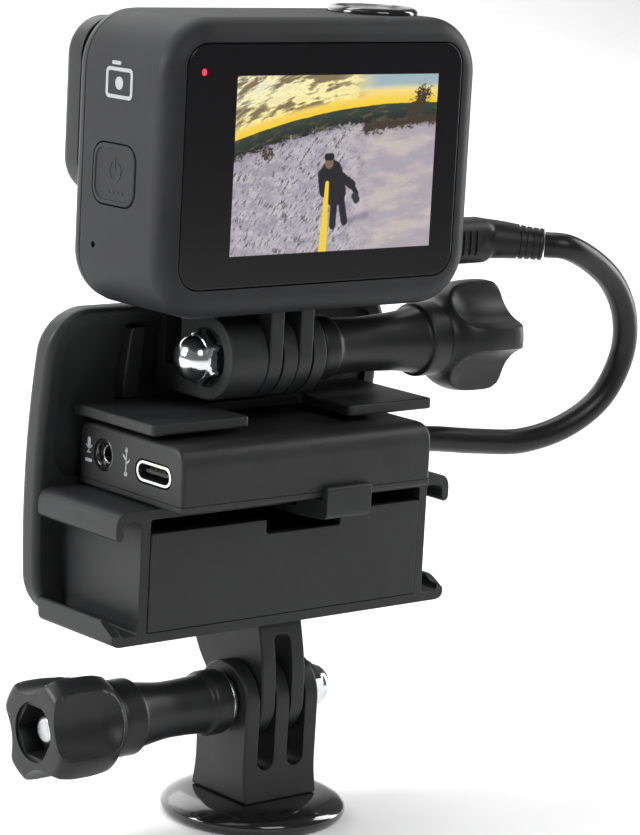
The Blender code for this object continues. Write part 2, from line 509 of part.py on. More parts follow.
def build_cable(holder_pivot, camera_pivot):
    course = smooth_course(CABLE_ROUTE, 5.0)
    curve = bpy.data.curves.new("usb_cable", "CURVE")
    curve.dimensions = "3D"
    curve.bevel_depth = CABLE_R * MM
    curve.bevel_resolution = 2
    curve.use_fill_caps = True
    spline = curve.splines.new("POLY")
    spline.points.add(len(course) - 1)
    for point, place in zip(spline.points, course):
        point.co = (*(place * MM), 1.0)
    curve.materials.append(make_material("usb_cable", *BLACK_RUBBER))
    cable = bpy.data.objects.new("usb_cable", curve)
    cable.location = WORK_ZERO
    PARTS.objects.link(cable)
    cable.parent = holder_pivot
    cable.matrix_parent_inverse = Matrix.Translation(-holder_pivot.location)

    plug = block("camera_plug", (34.5, USB_Y - 3.6, USB_Z - 4.0), (49.0, USB_Y + 3.4, USB_Z + 4.0),
                 BLACK_RUBBER, camera_pivot, along="X", radius=2.4, rim=1.2, steps=3)
    reach = (ELBOW_TIP - ELBOW_ROOT).length
    elbow = turned("add_plug_elbow", [(0, reach), (2.9, reach), (3.5, 2.0), (3.5, 0), (0, 0)], ELBOW_ROOT,
                   None, steps=14)
    elbow.rotation_euler = ELBOW_WAY.to_track_quat("Z", "Y").to_euler()
    boolean(plug, elbow, "UNION")


# ---------------------------------------------------------------- screws and nuts

def build_thumbscrew(prefix, place, direction, length, first_scoop, pivot, washer_pivot):
    """A washer and a long knob moulded on a bolt; place is the prong face that it clamps."""
    x, y, z = place
    sign = 1 if direction == "+X" else -1

    def along(distance):
        return (x + sign * distance, y, z)

    turned(prefix + "_washer", [(SCREW_R + GAP, WASHER_T), (WASHER_R, WASHER_T), (WASHER_R, 0),
                                (SCREW_R + GAP, 0)],
           along(GAP), STEEL, washer_pivot, direction, closed=True)
    start = GAP * 2 + WASHER_T
    head = length - KNOB_HEAD
    profile = [(0, length), (6.6, length), (8.4, length - 1.2), (9.6, length - 4.0), (9.9, length - 7.0),
               (9.2, head + 1.0), (7.0, head - 0.4), (6.5, head - 1.0), (6.5, head - 4.8),
               (5.6, head - 5.6), (4.9, 8.0), (4.9, 5.6), (5.6, 5.0), (5.6, start), (0, start)]
    knob = turned(prefix + "_knob", profile, place, DARK_PLASTIC, pivot, direction, steps=30)
    for i in range(SCOOPS):
        angle = math.radians(first_scoop) + math.tau * i / SCOOPS
        spot = (x + sign * (head + 0.4), y + SCOOP_AT * math.cos(angle), z + SCOOP_AT * math.sin(angle))
        boolean(knob, rod(f"cut_{prefix}_scoop_{i}", SCOOP_R, spot, 16, None, axis=direction, steps=24))
    boolean(knob, rod(f"cut_{prefix}_bore", SCREW_R + GAP, along(start - 2), BORE_DEEP, None,
                      axis=direction))
    boolean(knob, hexagon(f"cut_{prefix}_socket", SOCKET_FLATS, along(length - SOCKET_DEEP), 6.0, None,
                          direction))


def build_bolt(prefix, x0, x1, y, z, pivot):
    rod(prefix + "_bolt", SCREW_R, (x0, y, z), x1 - x0, STEEL, pivot, "+X", 20)


def build_cap_nut(name, face_x, y, z, direction, pivot):
    """A domed M5 nut whose flat face is at face_x."""
    corner = NUT_FLATS / math.sqrt(3)
    dome = [(0, NUT_HEX + NUT_DOME)]
    dome += [(3.7 * math.sin(a), NUT_HEX + NUT_DOME * math.cos(a)) for a in (0.45, 0.9, 1.3)]
    nut = turned(name, dome + [(3.75, NUT_HEX - 0.2), (3.75, 0.2), (0, 0.2)], (face_x, y, z), CHROME,
                 pivot, direction, steps=18)
    body = turned("add_" + name, [(0, NUT_HEX), (corner, NUT_HEX), (corner, 0), (0, 0)],
                  (face_x, y, z), None, None, direction, steps=6)
    boolean(nut, body, "UNION")
    back = -1 if direction == "+X" else 1
    boolean(nut, rod("cut_" + name, SCREW_R + GAP, (face_x + back, y, z), 5.6, None, axis=direction))


# ---------------------------------------------------------------- foot

def build_foot(pivot):
    x0 = LOWER_X - PITCH * 2 - BLADE / 2
    x1 = LOWER_X + PITCH * 2 + BLADE / 2
    base = FLOOR + DISC_TOP + GAP
    deep = COLUMN_DEPTH / 2
    outline = arc(LOWER_Y, LOWER_Z, LOWER_R, 0, 180, 12)
    outline += [(LOWER_Y - deep, -80.5), (LOWER_Y - deep - 0.7, base), (LOWER_Y + deep + 0.7, base),
                (LOWER_Y + deep, -80.5)]
    column = flat("foot_column", [outline], "YZ", ((x0 + x1) / 2, 0, 0), x1 - x0, DARK_PLASTIC, pivot)
    for side in (-1, 1):
        x = LOWER_X + side * PITCH
        round_end = arc(x, SLOT_BOTTOM + SLOT_GAP / 2, SLOT_GAP / 2, 180, 360, 8)
        slot = round_end + [(x + SLOT_GAP / 2, LOWER_Z + 10), (x - SLOT_GAP / 2, LOWER_Z + 10)]
        boolean(column, flat(f"cut_foot_slot_{side}", [slot], "XZ", (0, LOWER_Y, 0), 24, None))
    boolean(column, rod("cut_foot_bolt", HOLE_R, (x0 - 1, LOWER_Y, LOWER_Z), x1 - x0 + 2, None))
    boolean(column, rod("cut_insert_top", 4.6, (LOWER_X, LOWER_Y, base - 1), 4.8, None, axis="+Z"))

    profile = [(4.6, DISC_TOP), (10.6, DISC_TOP), (13.4, 3.6), (15.2, 2.9), (DISC_R, 2.0),
               (DISC_R, 0.9), (15.6, GAP), (14.3, GAP), (14.3, 1.3), (6.2, 1.3), (6.2, GAP), (4.6, GAP)]
    turned("foot_disc", profile, (LOWER_X, LOWER_Y, FLOOR), GLOSS_BLACK, pivot, closed=True, steps=32)
    turned("foot_pad", [(6.5, 1.0), (14.0, 1.0), (14.0, 0), (6.5, 0)], (LOWER_X, LOWER_Y, FLOOR),
           BLACK_RUBBER, pivot, closed=True, steps=32)
    turned("thread_insert", [(3.2, 7.8), (4.3, 7.8), (4.3, 0.35), (3.2, 0.35)],
           (LOWER_X, LOWER_Y, FLOOR), BRASS, pivot, closed=True, steps=20)


def main():
    foot = make_pivot("foot_centre", LOWER_X, LOWER_Y, FLOOR)
    holder = make_pivot("base_tilt_axis", LOWER_X, LOWER_Y, LOWER_Z)
    camera = make_pivot("camera_tilt_axis", UPPER_X, UPPER_Y, UPPER_Z)

    build_camera(camera)
    build_camera_controls(make_pivot("shutter_axis", SHUTTER_X, SHUTTER_Y, CAM_H),
                          make_pivot("mode_axis", -CAM_W / 2, MODE_Y, MODE_Z),
                          make_pivot("battery_axis", 0, 11.9, 27.6),
                          make_pivot("card_axis", 22, 18.7, 25.5))
    build_back_plate(holder)
    build_box(holder)
    build_roof(holder)
    build_upper_prongs(holder)
    build_lower_prongs(holder)
    build_latch(make_pivot("latch_axis", LATCH_X, LATCH_PIVOT_Y, LATCH_PIVOT_Z))
    build_adapter(holder)
    build_cable(holder, camera)

    upper_face = UPPER_X + PITCH * 2 + BLADE / 2
    upper_turn = make_pivot("upper_screw_axis", upper_face, UPPER_Y, UPPER_Z)
    build_thumbscrew("upper_thumbscrew", (upper_face, UPPER_Y, UPPER_Z), "+X", UPPER_KNOB,
                     UPPER_SCOOP, upper_turn, upper_turn)
    nut_face = UPPER_X - PITCH * 2 - BLADE / 2 - BOSS_OUT + POCKET - GAP
    build_cap_nut("upper_cap_nut", nut_face, UPPER_Y, UPPER_Z, "-X", holder)
    build_bolt("upper_thumbscrew", nut_face - BOLT_IN_NUT, upper_face + BOLT_IN_KNOB, UPPER_Y, UPPER_Z,
               upper_turn)

    lower_face = LOWER_X - PITCH * 2 - BLADE / 2
    lower_turn = make_pivot("lower_screw_axis", lower_face, LOWER_Y, LOWER_Z)
    build_thumbscrew("lower_thumbscrew", (lower_face, LOWER_Y, LOWER_Z), "-X", LOWER_KNOB,
                     LOWER_SCOOP, lower_turn, lower_turn)
    far_face = LOWER_X + PITCH * 2 + BLADE / 2 + GAP
    build_cap_nut("lower_cap_nut", far_face, LOWER_Y, LOWER_Z, "+X", foot)
    build_bolt("lower_thumbscrew", lower_face - BOLT_IN_KNOB, far_face + BOLT_IN_NUT, LOWER_Y, LOWER_Z,
               lower_turn)
    build_foot(foot)


main()
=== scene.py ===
import math

import bmesh
import bpy
from mathutils import Matrix, Vector

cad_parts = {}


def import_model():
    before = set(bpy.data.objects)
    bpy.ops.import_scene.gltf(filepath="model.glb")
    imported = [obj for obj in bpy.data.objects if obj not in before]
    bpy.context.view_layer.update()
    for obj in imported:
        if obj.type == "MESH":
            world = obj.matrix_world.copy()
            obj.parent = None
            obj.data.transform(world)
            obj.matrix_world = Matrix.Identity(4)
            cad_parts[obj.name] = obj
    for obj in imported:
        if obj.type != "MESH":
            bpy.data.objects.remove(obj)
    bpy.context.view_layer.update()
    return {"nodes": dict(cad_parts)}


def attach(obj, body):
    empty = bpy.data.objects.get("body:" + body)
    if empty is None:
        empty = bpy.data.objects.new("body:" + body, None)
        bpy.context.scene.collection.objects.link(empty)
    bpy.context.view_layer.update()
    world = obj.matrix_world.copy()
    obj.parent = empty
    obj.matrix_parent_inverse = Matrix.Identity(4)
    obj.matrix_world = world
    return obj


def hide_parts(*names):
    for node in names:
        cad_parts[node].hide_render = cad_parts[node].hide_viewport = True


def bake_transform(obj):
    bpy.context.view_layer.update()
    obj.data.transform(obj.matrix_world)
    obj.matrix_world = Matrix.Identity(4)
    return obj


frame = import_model()

# Millimetres in the part's working frame: zero is the middle of the camera's lower back edge, +X right
# seen from behind the camera, +Y towards the lens, +Z up. WORK_ZERO places it in the row frame.
MM = 0.001
WORK_ZERO = Vector((-2.0, -13.85, 89.0)) * MM

CAM_W, CAM_H, SEAM, CAM_FRONT, CORNER_R = 66.3, 48.6, 22.5, 25.2, 9.5
LENS_X, LENS_Z, LENS_SIDE, LENS_FRONT = -17.5, 32.2, 29.5, 30.2
SCREEN_X, SCREEN_Z, SCREEN_W, SCREEN_H = -0.5, 24.9, 58.2, 39.4
PICTURE_X, PICTURE_Z, PICTURE_W, PICTURE_H = 1.9, 24.9, 43.0, 29.2
LED_X, LED_Z = -26.15, 40.1
SHUTTER_X, SHUTTER_Y, SHUTTER_R = 19.0, 12.8, 7.6
MODE_Y, MODE_Z, MODE_W, MODE_H = 13.7, 22.45, 11.4, 9.9
BAY_Y, BAY_Z, BAY_W, BAY_H = 12.4, 24.7, 14.4, 37.4
USB_Y, USB_Z = 11.3, 8.9
KEY_GAP, KEY_RIM, BAY_END, SCREEN_GAP, MARK_T = 0.22, 0.75, -9.0, 0.2, 0.14

BLADE, PITCH = 2.9, 3.2
SLOT_GAP = PITCH * 2 - BLADE
UPPER_X, UPPER_Y, UPPER_Z, UPPER_R = -1.6, 12.0, -8.3, 7.3
LOWER_X, LOWER_Y, LOWER_Z, LOWER_R = 0.4, 11.5, -68.1, 6.9
BOSS_OUT, POCKET, NUT_FLATS = 4.6, 1.2, 8.0
KNOB_HEAD, SCOOPS, SCOOP_R, SCOOP_AT = 14.0, 4, 8.0, 14.2
UPPER_KNOB, UPPER_SCOOP = 44.2, 40.0
LOWER_KNOB, LOWER_SCOOP = 39.1, 75.0

PLATE_HALF, PLATE_TOP, PLATE_BOTTOM, PLATE_R, PLATE_T = 36.5, -1.0, -54.4, 7.5, 5.0
PLATE_BOW, PLATE_BOW_Z, PLATE_FAR = 0.0035, -34.0, 32.3
BOX_FRONT, BOX_WALL, BOX_INSIDE, LIP_OUT = 5.0, 31.0, 29.2, 36.1
SHELF_TOP, SHELF_UNDER, FLOOR_TOP, BOX_BOTTOM = -31.3, -33.1, -52.3, -54.0
ROOF_TOP, ROOF_T = -17.3, 1.9
PANEL_TOP, NOTCH_X, NOTCH_W, NOTCH_DEEP = -35.4, 3.1, 16.2, 2.5
ADP_X0, ADP_X1, ADP_Y0, ADP_Y1, ADP_Z0, ADP_Z1 = -28.5, 25.0, -2.0, 26.6, -31.0, -20.3
JACK_Y, JACK_Z, PORT_Y, PORT_Z = 19.8, -25.1, 5.9, -25.7
CABLE_R, CABLE_Y, CABLE_Z = 2.3, 12.3, -26.3
FLOOR, DISC_R, DISC_TOP, COLUMN_DEPTH, SLOT_BOTTOM, THREAD_TURNS = -89.0, 16.0, 4.1, 13.6, -79.5, 9
GAP = 0.3
SCREW_HOLE, SCREW_SEAT = 2.8, 5.0
WASHER_R, WASHER_T = 4.9, 0.8
SOCKET_FLATS, SOCKET_DEEP, SOCKET_TOOL = 8.4, 4.2, 6.0
LENS_BORE, GLASS_SEAT, GLASS_R = 9.3, 11.25, 11.0
FRONT_X0, FRONT_X1, FRONT_Z0, FRONT_Z1, FRONT_SEAT = 3.3, 26.7, 16.3, 37.7, 0.2
PEEP_Z, SOUND_HOLES, GROOVES = 43.2, 5, 6


def world(point):
    """A point of the working frame in metres of the row frame."""
    return Vector(point) * MM + WORK_ZERO


# ---------------------------------------------------------------- materials

class Num:
    """A value in a node tree, so that a pattern can be written as arithmetic."""

    def __init__(self, tree, source):
        self.tree = tree
        self.source = source

    def math(self, operation, other=None, third=None):
        node = self.tree.nodes.new("ShaderNodeMath")
        node.operation = operation
        for i, value in enumerate((self, other, third)):
            if isinstance(value, Num):
                self.tree.links.new(value.source, node.inputs[i])
            elif value is not None:
                node.inputs[i].default_value = value
        return Num(self.tree, node.outputs[0])

    def __add__(self, other):
        return self.math("ADD", other)

    def __sub__(self, other):
        return self.math("SUBTRACT", other)

    def __mul__(self, other):
        return self.math("MULTIPLY", other)

    def step(self, low, high):
        """0 below low, 1 above high, smooth between; low may be the larger one."""
        node = self.tree.nodes.new("ShaderNodeMapRange")
        node.interpolation_type = "SMOOTHSTEP"
        self.tree.links.new(self.source, node.inputs["Value"])
        flip = low > high
        node.inputs["From Min"].default_value = min(low, high)
        node.inputs["From Max"].default_value = max(low, high)
        node.inputs["To Min"].default_value = 1.0 if flip else 0.0
        node.inputs["To Max"].default_value = 0.0 if flip else 1.0
        return Num(self.tree, node.outputs["Result"])


def settings(shader, **values):
    """Set plain input values, each named like its socket with underscores for spaces."""
    for name, value in values.items():
        shader.inputs[name.replace("_", " ")].default_value = value


def new_material(name):
    material = bpy.data.materials.new(name)
    material.use_nodes = True
    return material, material.node_tree, material.node_tree.nodes["Principled BSDF"]


def place(tree):
    """The point being shaded, in metres of the row frame at rest."""
    return tree.nodes.new("ShaderNodeTexCoord").outputs["Object"]


def noise(tree, where, scale, detail=3.0, rough=0.5, stretch=None):
    if stretch:
        mapping = tree.nodes.new("ShaderNodeMapping")
        mapping.inputs["Scale"].default_value = stretch
        tree.links.new(where, mapping.inputs["Vector"])
        where = mapping.outputs["Vector"]
    node = tree.nodes.new("ShaderNodeTexNoise")
    node.inputs["Scale"].default_value = scale
    node.inputs["Detail"].default_value = detail
    node.inputs["Roughness"].default_value = rough
    tree.links.new(where, node.inputs["Vector"])
    return Num(tree, node.outputs["Fac"])


def blend_colours(tree, factor, low, high):
    """low where factor is 0, high where it is 1. Each is a colour or a socket."""
    node = tree.nodes.new("ShaderNodeMix")
    node.data_type = "RGBA"
    tree.links.new(factor.source, node.inputs["Factor"])
    for value, socket in ((low, node.inputs["A"]), (high, node.inputs["B"])):
        if isinstance(value, bpy.types.NodeSocket):
            tree.links.new(value, socket)
        else:
            socket.default_value = (*value, 1.0)
    return node.outputs["Result"]


def bump(tree, shader, height, strength, distance):
    node = tree.nodes.new("ShaderNodeBump")
    node.inputs["Strength"].default_value = strength
    node.inputs["Distance"].default_value = distance
    tree.links.new(height.source, node.inputs["Height"])
    tree.links.new(node.outputs["Normal"], shader.inputs["Normal"])


def moulded(name, colour, roughness, grain=5200.0, relief=0.35, wear=0.25, shine_level=0.32):
    """Moulded plastic or rubber: a fine spark-eroded grain, uneven shine and faint handling marks."""
    material, tree, shader = new_material(name)
    where = place(tree)
    fine = noise(tree, where, grain, 2.0, 0.6)
    broad = noise(tree, where, 90.0, 4.0, 0.6)
    rub = noise(tree, where, 420.0, 5.0, 0.7)
    darker = tuple(c * (1 - wear * 0.5) for c in colour)
    lighter = tuple(c * (1 + wear) for c in colour)
    tree.links.new(blend_colours(tree, (broad * 0.65 + rub * 0.35).step(0.35, 0.65), darker, lighter),
                   shader.inputs["Base Color"])
    shine = (broad - 0.5) * 0.16 + (fine - 0.5) * 0.22 + (rub - 0.5) * 0.10 + roughness
    tree.links.new(shine.source, shader.inputs["Roughness"])
    bump(tree, shader, fine * 0.8 + rub * 0.2, relief, 0.00006)
    settings(shader, Specular_IOR_Level=shine_level)
    return material


def polished(name, colour, roughness=0.06, metallic=0.0, smears=0.05, coat=0.0):
    """A polished surface with faint smears that only its reflections show."""
    material, tree, shader = new_material(name)
    where = place(tree)
    smear = noise(tree, where, 160.0, 4.0, 0.6, (1.0, 1.0, 0.45))
    tint = noise(tree, where, 60.0, 2.0)
    tree.links.new(blend_colours(tree, tint.step(0.3, 0.7), tuple(c * 0.94 for c in colour), colour),
                   shader.inputs["Base Color"])
    tree.links.new(((smear - 0.4) * smears + roughness).math("MAXIMUM", 0.02).source,
                   shader.inputs["Roughness"])
    settings(shader, Metallic=metallic, Coat_Weight=coat, Coat_Roughness=0.03)
    return material


def machined(name, colour, roughness, stretch):
    """Bare metal with fine tool marks; stretch is large across the marks."""
    material, tree, shader = new_material(name)
    where = place(tree)
    marks = noise(tree, where, 700.0, 3.0, 0.6, stretch)
    tree.links.new(blend_colours(tree, marks.step(0.3, 0.7), tuple(c * 0.8 for c in colour), colour),
                   shader.inputs["Base Color"])
    tree.links.new(((marks - 0.5) * 0.2 + roughness).source, shader.inputs["Roughness"])
    bump(tree, shader, marks, 0.25, 0.00004)
    settings(shader, Metallic=1.0)
    return material


def clear_glass(name, tint, transmission):
    material, tree, shader = new_material(name)
    where = place(tree)
    smear = noise(tree, where, 220.0, 3.0)
    tree.links.new(blend_colours(tree, smear.step(0.2, 0.8), tint, tuple(min(1.0, c * 1.1) for c in tint)),
                   shader.inputs["Base Color"])
    tree.links.new((smear * 0.03 + 0.01).source, shader.inputs["Roughness"])
    settings(shader, Transmission_Weight=transmission, IOR=1.5, Coat_Weight=0.5)
    return material


def circuit(name):
    material, tree, shader = new_material(name)
    where = place(tree)
    tracks = noise(tree, where, 600.0, 1.0, 0.3, (1.0, 1.0, 3.0))
    tree.links.new(blend_colours(tree, tracks.step(0.46, 0.54), (0.01, 0.07, 0.035), (0.02, 0.16, 0.07)),
                   shader.inputs["Base Color"])
    tree.links.new((tracks * 0.2 + 0.3).source, shader.inputs["Roughness"])
    bump(tree, shader, tracks.step(0.46, 0.54), 0.5, 0.0001)
    return material


def lamp_colour(name, colour, strength):
    material, tree, shader = new_material(name)
    where = place(tree)
    spot = noise(tree, where, 900.0, 2.0)
    lit = blend_colours(tree, spot, tuple(c * 0.7 for c in colour), colour)
    tree.links.new(lit, shader.inputs["Base Color"])
    tree.links.new(lit, shader.inputs["Emission Color"])
    settings(shader, Emission_Strength=strength, Roughness=0.2)
    return material


def capsule(u, v, a, b, radius):
    """Distance to the line from a to b, less radius: under 0 inside a round-ended bar."""
    run, rise = b[0] - a[0], b[1] - a[1]
    square = max(run * run + rise * rise, 1e-9)
    du, dv = u - a[0], v - a[1]
    along = (du * (run / square) + dv * (rise / square)).math("MAXIMUM", 0.0).math("MINIMUM", 1.0)
    across, up = du - along * run, dv - along * rise
    return (across * across + up * up).math("SQRT") - radius


def screen_material(name):
    """Black coated glass that shows a made-up picture: sunset, dark hills, snow, a plain walking figure."""
    material, tree, shader = new_material(name)
    where = place(tree)
    split = tree.nodes.new("ShaderNodeSeparateXYZ")
    tree.links.new(where, split.inputs[0])
    centre = world((PICTURE_X, 0, PICTURE_Z))
    wide, high = PICTURE_W * MM, PICTURE_H * MM
    # u runs 0 to 1.47 across and v 0 to 1 down, so that round things stay round.
    u = (Num(tree, split.outputs["X"]) - (centre.x - wide / 2)) * (1 / high)
    v = (Num(tree, split.outputs["Z"]) - (centre.z + high / 2)) * (-1 / high)
    aspect = wide / high

    grit = noise(tree, where, 1500.0, 5.0, 0.7, (1.0, 1.0, 1.2))
    clumps = noise(tree, where, 330.0, 6.0, 0.7, (1.0, 1.0, 2.0))

    # The skyline is a hump, and the clouds lie along it: above is the height over it.
    hump = (u * -1.0 + 1.30).math("MAXIMUM", 0.0)
    skyline = hump * hump * 0.115 + 0.165
    above = skyline - v
    flow = tree.nodes.new("ShaderNodeCombineXYZ")
    tree.links.new(u.source, flow.inputs["X"])
    tree.links.new((above * 3.4 - u * 0.25).source, flow.inputs["Y"])
    banks = noise(tree, flow.outputs[0], 3.1, 5.0, 0.55)
    streaks = noise(tree, flow.outputs[0], 9.0, 6.0, 0.62)
    sky = blend_colours(tree, above.step(0.0, 0.13), (0.93, 0.62, 0.04), (0.90, 0.78, 0.36))
    sky = blend_colours(tree, u.step(0.75, 0.15) * above.step(0.08, 0.26), sky, (0.78, 0.74, 0.60))
    sky = blend_colours(tree, u.step(0.80, 1.05) * above.step(0.07, 0.12), sky, (0.34, 0.46, 0.50))
    cloud_here = u.step(1.0, 0.7) * above.step(0.035, 0.07)
    cloud = (banks * 0.6 + streaks * 0.4).step(0.47, 0.54) * cloud_here
    sky = blend_colours(tree, cloud, sky, (0.22, 0.165, 0.085))
    gleam = (banks * 0.6 + streaks * 0.4 - 0.465).math("ABSOLUTE").step(0.035, 0.0) * cloud_here
    sky = blend_colours(tree, gleam, sky, (1.0, 0.92, 0.45))

    land = (above + (clumps - 0.5) * 0.012).step(0.003, -0.003)
    slope = blend_colours(tree, above.step(-0.12, 0.0), (0.010, 0.012, 0.010), (0.030, 0.048, 0.035))
    slope = blend_colours(tree, streaks.step(0.52, 0.66), slope, (0.10, 0.085, 0.03))
    picture = blend_colours(tree, land, sky, slope)
    snow_here = (above + (clumps - 0.5) * 0.16 + (grit - 0.5) * 0.10 - u * 0.02).step(-0.10, -0.135)
    path = (u - v * 0.12 + (clumps - 0.5) * 0.5).step(0.70, 1.10)
    snow = blend_colours(tree, clumps.step(0.35, 0.65), (0.34, 0.31, 0.37), (0.56, 0.52, 0.56))
    snow = blend_colours(tree, path * 0.7, snow, (0.47, 0.40, 0.40))
    tracks = blend_colours(tree, banks.step(0.42, 0.62), (0.36, 0.33, 0.40), (0.62, 0.53, 0.50))
    snow = blend_colours(tree, path * 0.55, snow, tracks)
    slant = tree.nodes.new("ShaderNodeCombineXYZ")
    tree.links.new((u + v * 0.75).source, slant.inputs["X"])
    tree.links.new((v * 0.35 - u * 0.20).source, slant.inputs["Y"])
    blades = noise(tree, slant.outputs[0], 42.0, 5.0, 0.75)
    grass = (blades * 0.75 + clumps * 0.25 - path * 0.16).step(0.50, 0.60)
    snow = blend_colours(tree, grass * 0.9, snow, (0.085, 0.070, 0.075))
    picture = blend_colours(tree, snow_here, picture, snow)
    bush = capsule(u, v, (1.30, 0.22), (1.36, 0.12), 0.05) + (grit - 0.5) * 0.16
    bank = capsule(u, v, (0.95, 0.30), (1.55, 0.25), 0.035) + (clumps - 0.5) * 0.10
    small = capsule(u, v, (0.22, 0.44), (0.25, 0.42), 0.025) + (grit - 0.5) * 0.12
    scrub = bush.math("MINIMUM", bank).math("MINIMUM", small) + (grit - 0.5) * 0.12
    picture = blend_colours(tree, scrub.step(0.012, -0.018), picture, (0.050, 0.036, 0.022))

    shadow = capsule(u, v, (0.84, 0.83), (0.98, 0.80), 0.012).step(0.02, -0.01)
    picture = blend_colours(tree, shadow * 0.6, picture, (0.17, 0.16, 0.22))
    cloth = (0.012, 0.012, 0.016)
    limbs = (((0.705, 0.56), (0.735, 0.66), 0.082), ((0.735, 0.70), (0.730, 0.85), 0.024),
             ((0.785, 0.70), (0.815, 0.83), 0.024), ((0.77, 0.57), (0.86, 0.625), 0.026),
             ((0.86, 0.625), (0.895, 0.675), 0.016), ((0.635, 0.56), (0.655, 0.66), 0.030))
    for a, b, radius in limbs:
        limb = (capsule(u, v, a, b, radius) + (grit - 0.5) * 0.014).step(0.006, -0.004)
        picture = blend_colours(tree, limb, picture, cloth)
    bag = (capsule(u, v, (0.885, 0.69), (0.90, 0.71), 0.024) + (grit - 0.5) * 0.02).step(0.005, -0.005)
    picture = blend_colours(tree, bag, picture, (0.03, 0.028, 0.03))
    pole = capsule(u, v, (0.677, 0.61), (0.664, 1.02), 0.0) - v * 0.040 + 0.012
    picture = blend_colours(tree, pole.step(0.003, -0.002), picture, (0.90, 0.62, 0.03))
    head = capsule(u, v, (0.683, 0.478), (0.685, 0.500), 0.030)
    picture = blend_colours(tree, head.step(0.004, -0.004), picture, (0.22, 0.125, 0.08))
    cap = capsule(u, v, (0.668, 0.462), (0.700, 0.462), 0.021)
    picture = blend_colours(tree, cap.step(0.004, -0.004), picture, cloth)

    sides = (u - aspect / 2).math("ABSOLUTE").step(aspect / 2, aspect / 2 - 0.004)
    ends = (v - 0.5).math("ABSOLUTE").step(0.5, 0.496)
    outside = Num(tree, split.outputs["Y"]).step(world((0, 0.30, 0)).y, world((0, 0.20, 0)).y)
    shown = sides * ends * outside
    lit = blend_colours(tree, shown, (0.0, 0.0, 0.0), picture)
    tree.links.new(lit, shader.inputs["Emission Color"])
    settings(shader, Emission_Strength=1.0)
    smear = noise(tree, where, 70.0, 3.0, 0.5, (1.0, 1.0, 0.5))
    base = blend_colours(tree, shown, (0.006, 0.006, 0.007), (0.012, 0.012, 0.013))
    tree.links.new(base, shader.inputs["Base Color"])
    tree.links.new(((smear - 0.4) * 0.05 + 0.07).math("MAXIMUM", 0.02).source, shader.inputs["Roughness"])
    settings(shader, Specular_IOR_Level=0.35)
    return material


LOOK = {"camera": moulded("camera_rubber", (0.0175, 0.0180, 0.0195), 0.52, 4200.0, 0.55, 0.22,
                          shine_level=0.22),
        "cover": moulded("cover_plastic", (0.0120, 0.0125, 0.0135), 0.42, 5200.0, 0.35),
        "bezel": moulded("bezel_plastic", (0.0110, 0.0115, 0.0125), 0.38, 5600.0, 0.25),
        "finger": moulded("finger_plastic", (0.0120, 0.0125, 0.0135), 0.40, 4800.0, 0.40),
        "holder": moulded("holder_plastic", (0.0150, 0.0155, 0.0165), 0.46, 3600.0, 0.50, 0.20),
        "adapter": moulded("adapter_plastic", (0.0160, 0.0163, 0.0172), 0.44, 4200.0, 0.40, 0.20),
        "knob": moulded("knob_plastic", (0.0120, 0.0123, 0.0132), 0.38, 3800.0, 0.45, 0.25),
        "foot": moulded("foot_plastic", (0.0130, 0.0133, 0.0140), 0.40, 4200.0, 0.40, 0.20),
        "cable": moulded("cable_jacket", (0.0055, 0.0055, 0.0058), 0.34, 5200.0, 0.25, 0.15),
        "plug": moulded("plug_rubber", (0.0065, 0.0065, 0.0070), 0.44, 4600.0, 0.35, 0.15),
        "pad": moulded("pad_rubber", (0.012, 0.012, 0.0125), 0.75, 2600.0, 0.70),
        "wrap": moulded("battery_wrap", (0.045, 0.046, 0.050), 0.40, 5200.0, 0.25),
        "tab": moulded("tab_film", (0.03, 0.13, 0.42), 0.35, 5200.0, 0.20),
        "mark": moulded("printed_mark", (0.36, 0.37, 0.38), 0.50, 5200.0, 0.15, 0.10),
        "dark_hole": moulded("socket_black", (0.006, 0.006, 0.006), 0.35, 5200.0, 0.10),
        "gloss": polished("gloss_black", (0.012, 0.012, 0.013), 0.10, 0.0, 0.08, 0.4),
        "disc": polished("disc_black", (0.010, 0.010, 0.011), 0.12, 0.0, 0.10, 0.5),
        "chrome": polished("nut_chrome", (0.80, 0.81, 0.82), 0.13, 1.0, 0.06),
        "port": machined("port_steel", (0.66, 0.66, 0.67), 0.24, (1.0, 4.0, 1.0)),
        "steel": machined("bright_steel", (0.56, 0.57, 0.58), 0.28, (5.0, 1.0, 1.0)),
        "brass": machined("insert_brass", (0.74, 0.55, 0.26), 0.32, (1.0, 1.0, 5.0)),
        "screen": screen_material("rear_screen"),
        "lens": clear_glass("lens_glass", (0.80, 0.84, 0.95), 0.9),
        "optic": polished("coated_optic", (0.030, 0.018, 0.055), 0.03, 0.0, 0.02, 1.0),
        "board": circuit("circuit_board"), "red": lamp_colour("red_light", (1.0, 0.03, 0.05), 2.2),
        "amber": lamp_colour("amber_light", (0.9, 0.25, 0.05), 0.3), }


# ---------------------------------------------------------------- mesh tools

def bare(name, mesh):
    """An object with no look yet: a cutter, or a piece that is still to be cut and dressed."""
    mesh.name = name
    obj = bpy.data.objects.new(name, mesh)
    bpy.context.scene.collection.objects.link(obj)
    return obj


def piece(name, mesh, *finish):
    """One visible piece on a CAD body; finish is what dress takes after the object."""
    return dress(bare(name, mesh), *finish)


def dress(obj, look, body, slot=None, replaces=(), sharp=35, level=True):
    obj.data.materials.clear()
    obj.data.materials.append(LOOK[look])
    obj.data.shade_smooth()
    obj.data.set_sharp_from_angle(angle=math.radians(sharp))
    if level:
        modifier = obj.modifiers.new("even_shading", "WEIGHTED_NORMAL")
        modifier.keep_sharp = True
    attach(obj, body)
    if replaces:
        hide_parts(*replaces)
    return obj


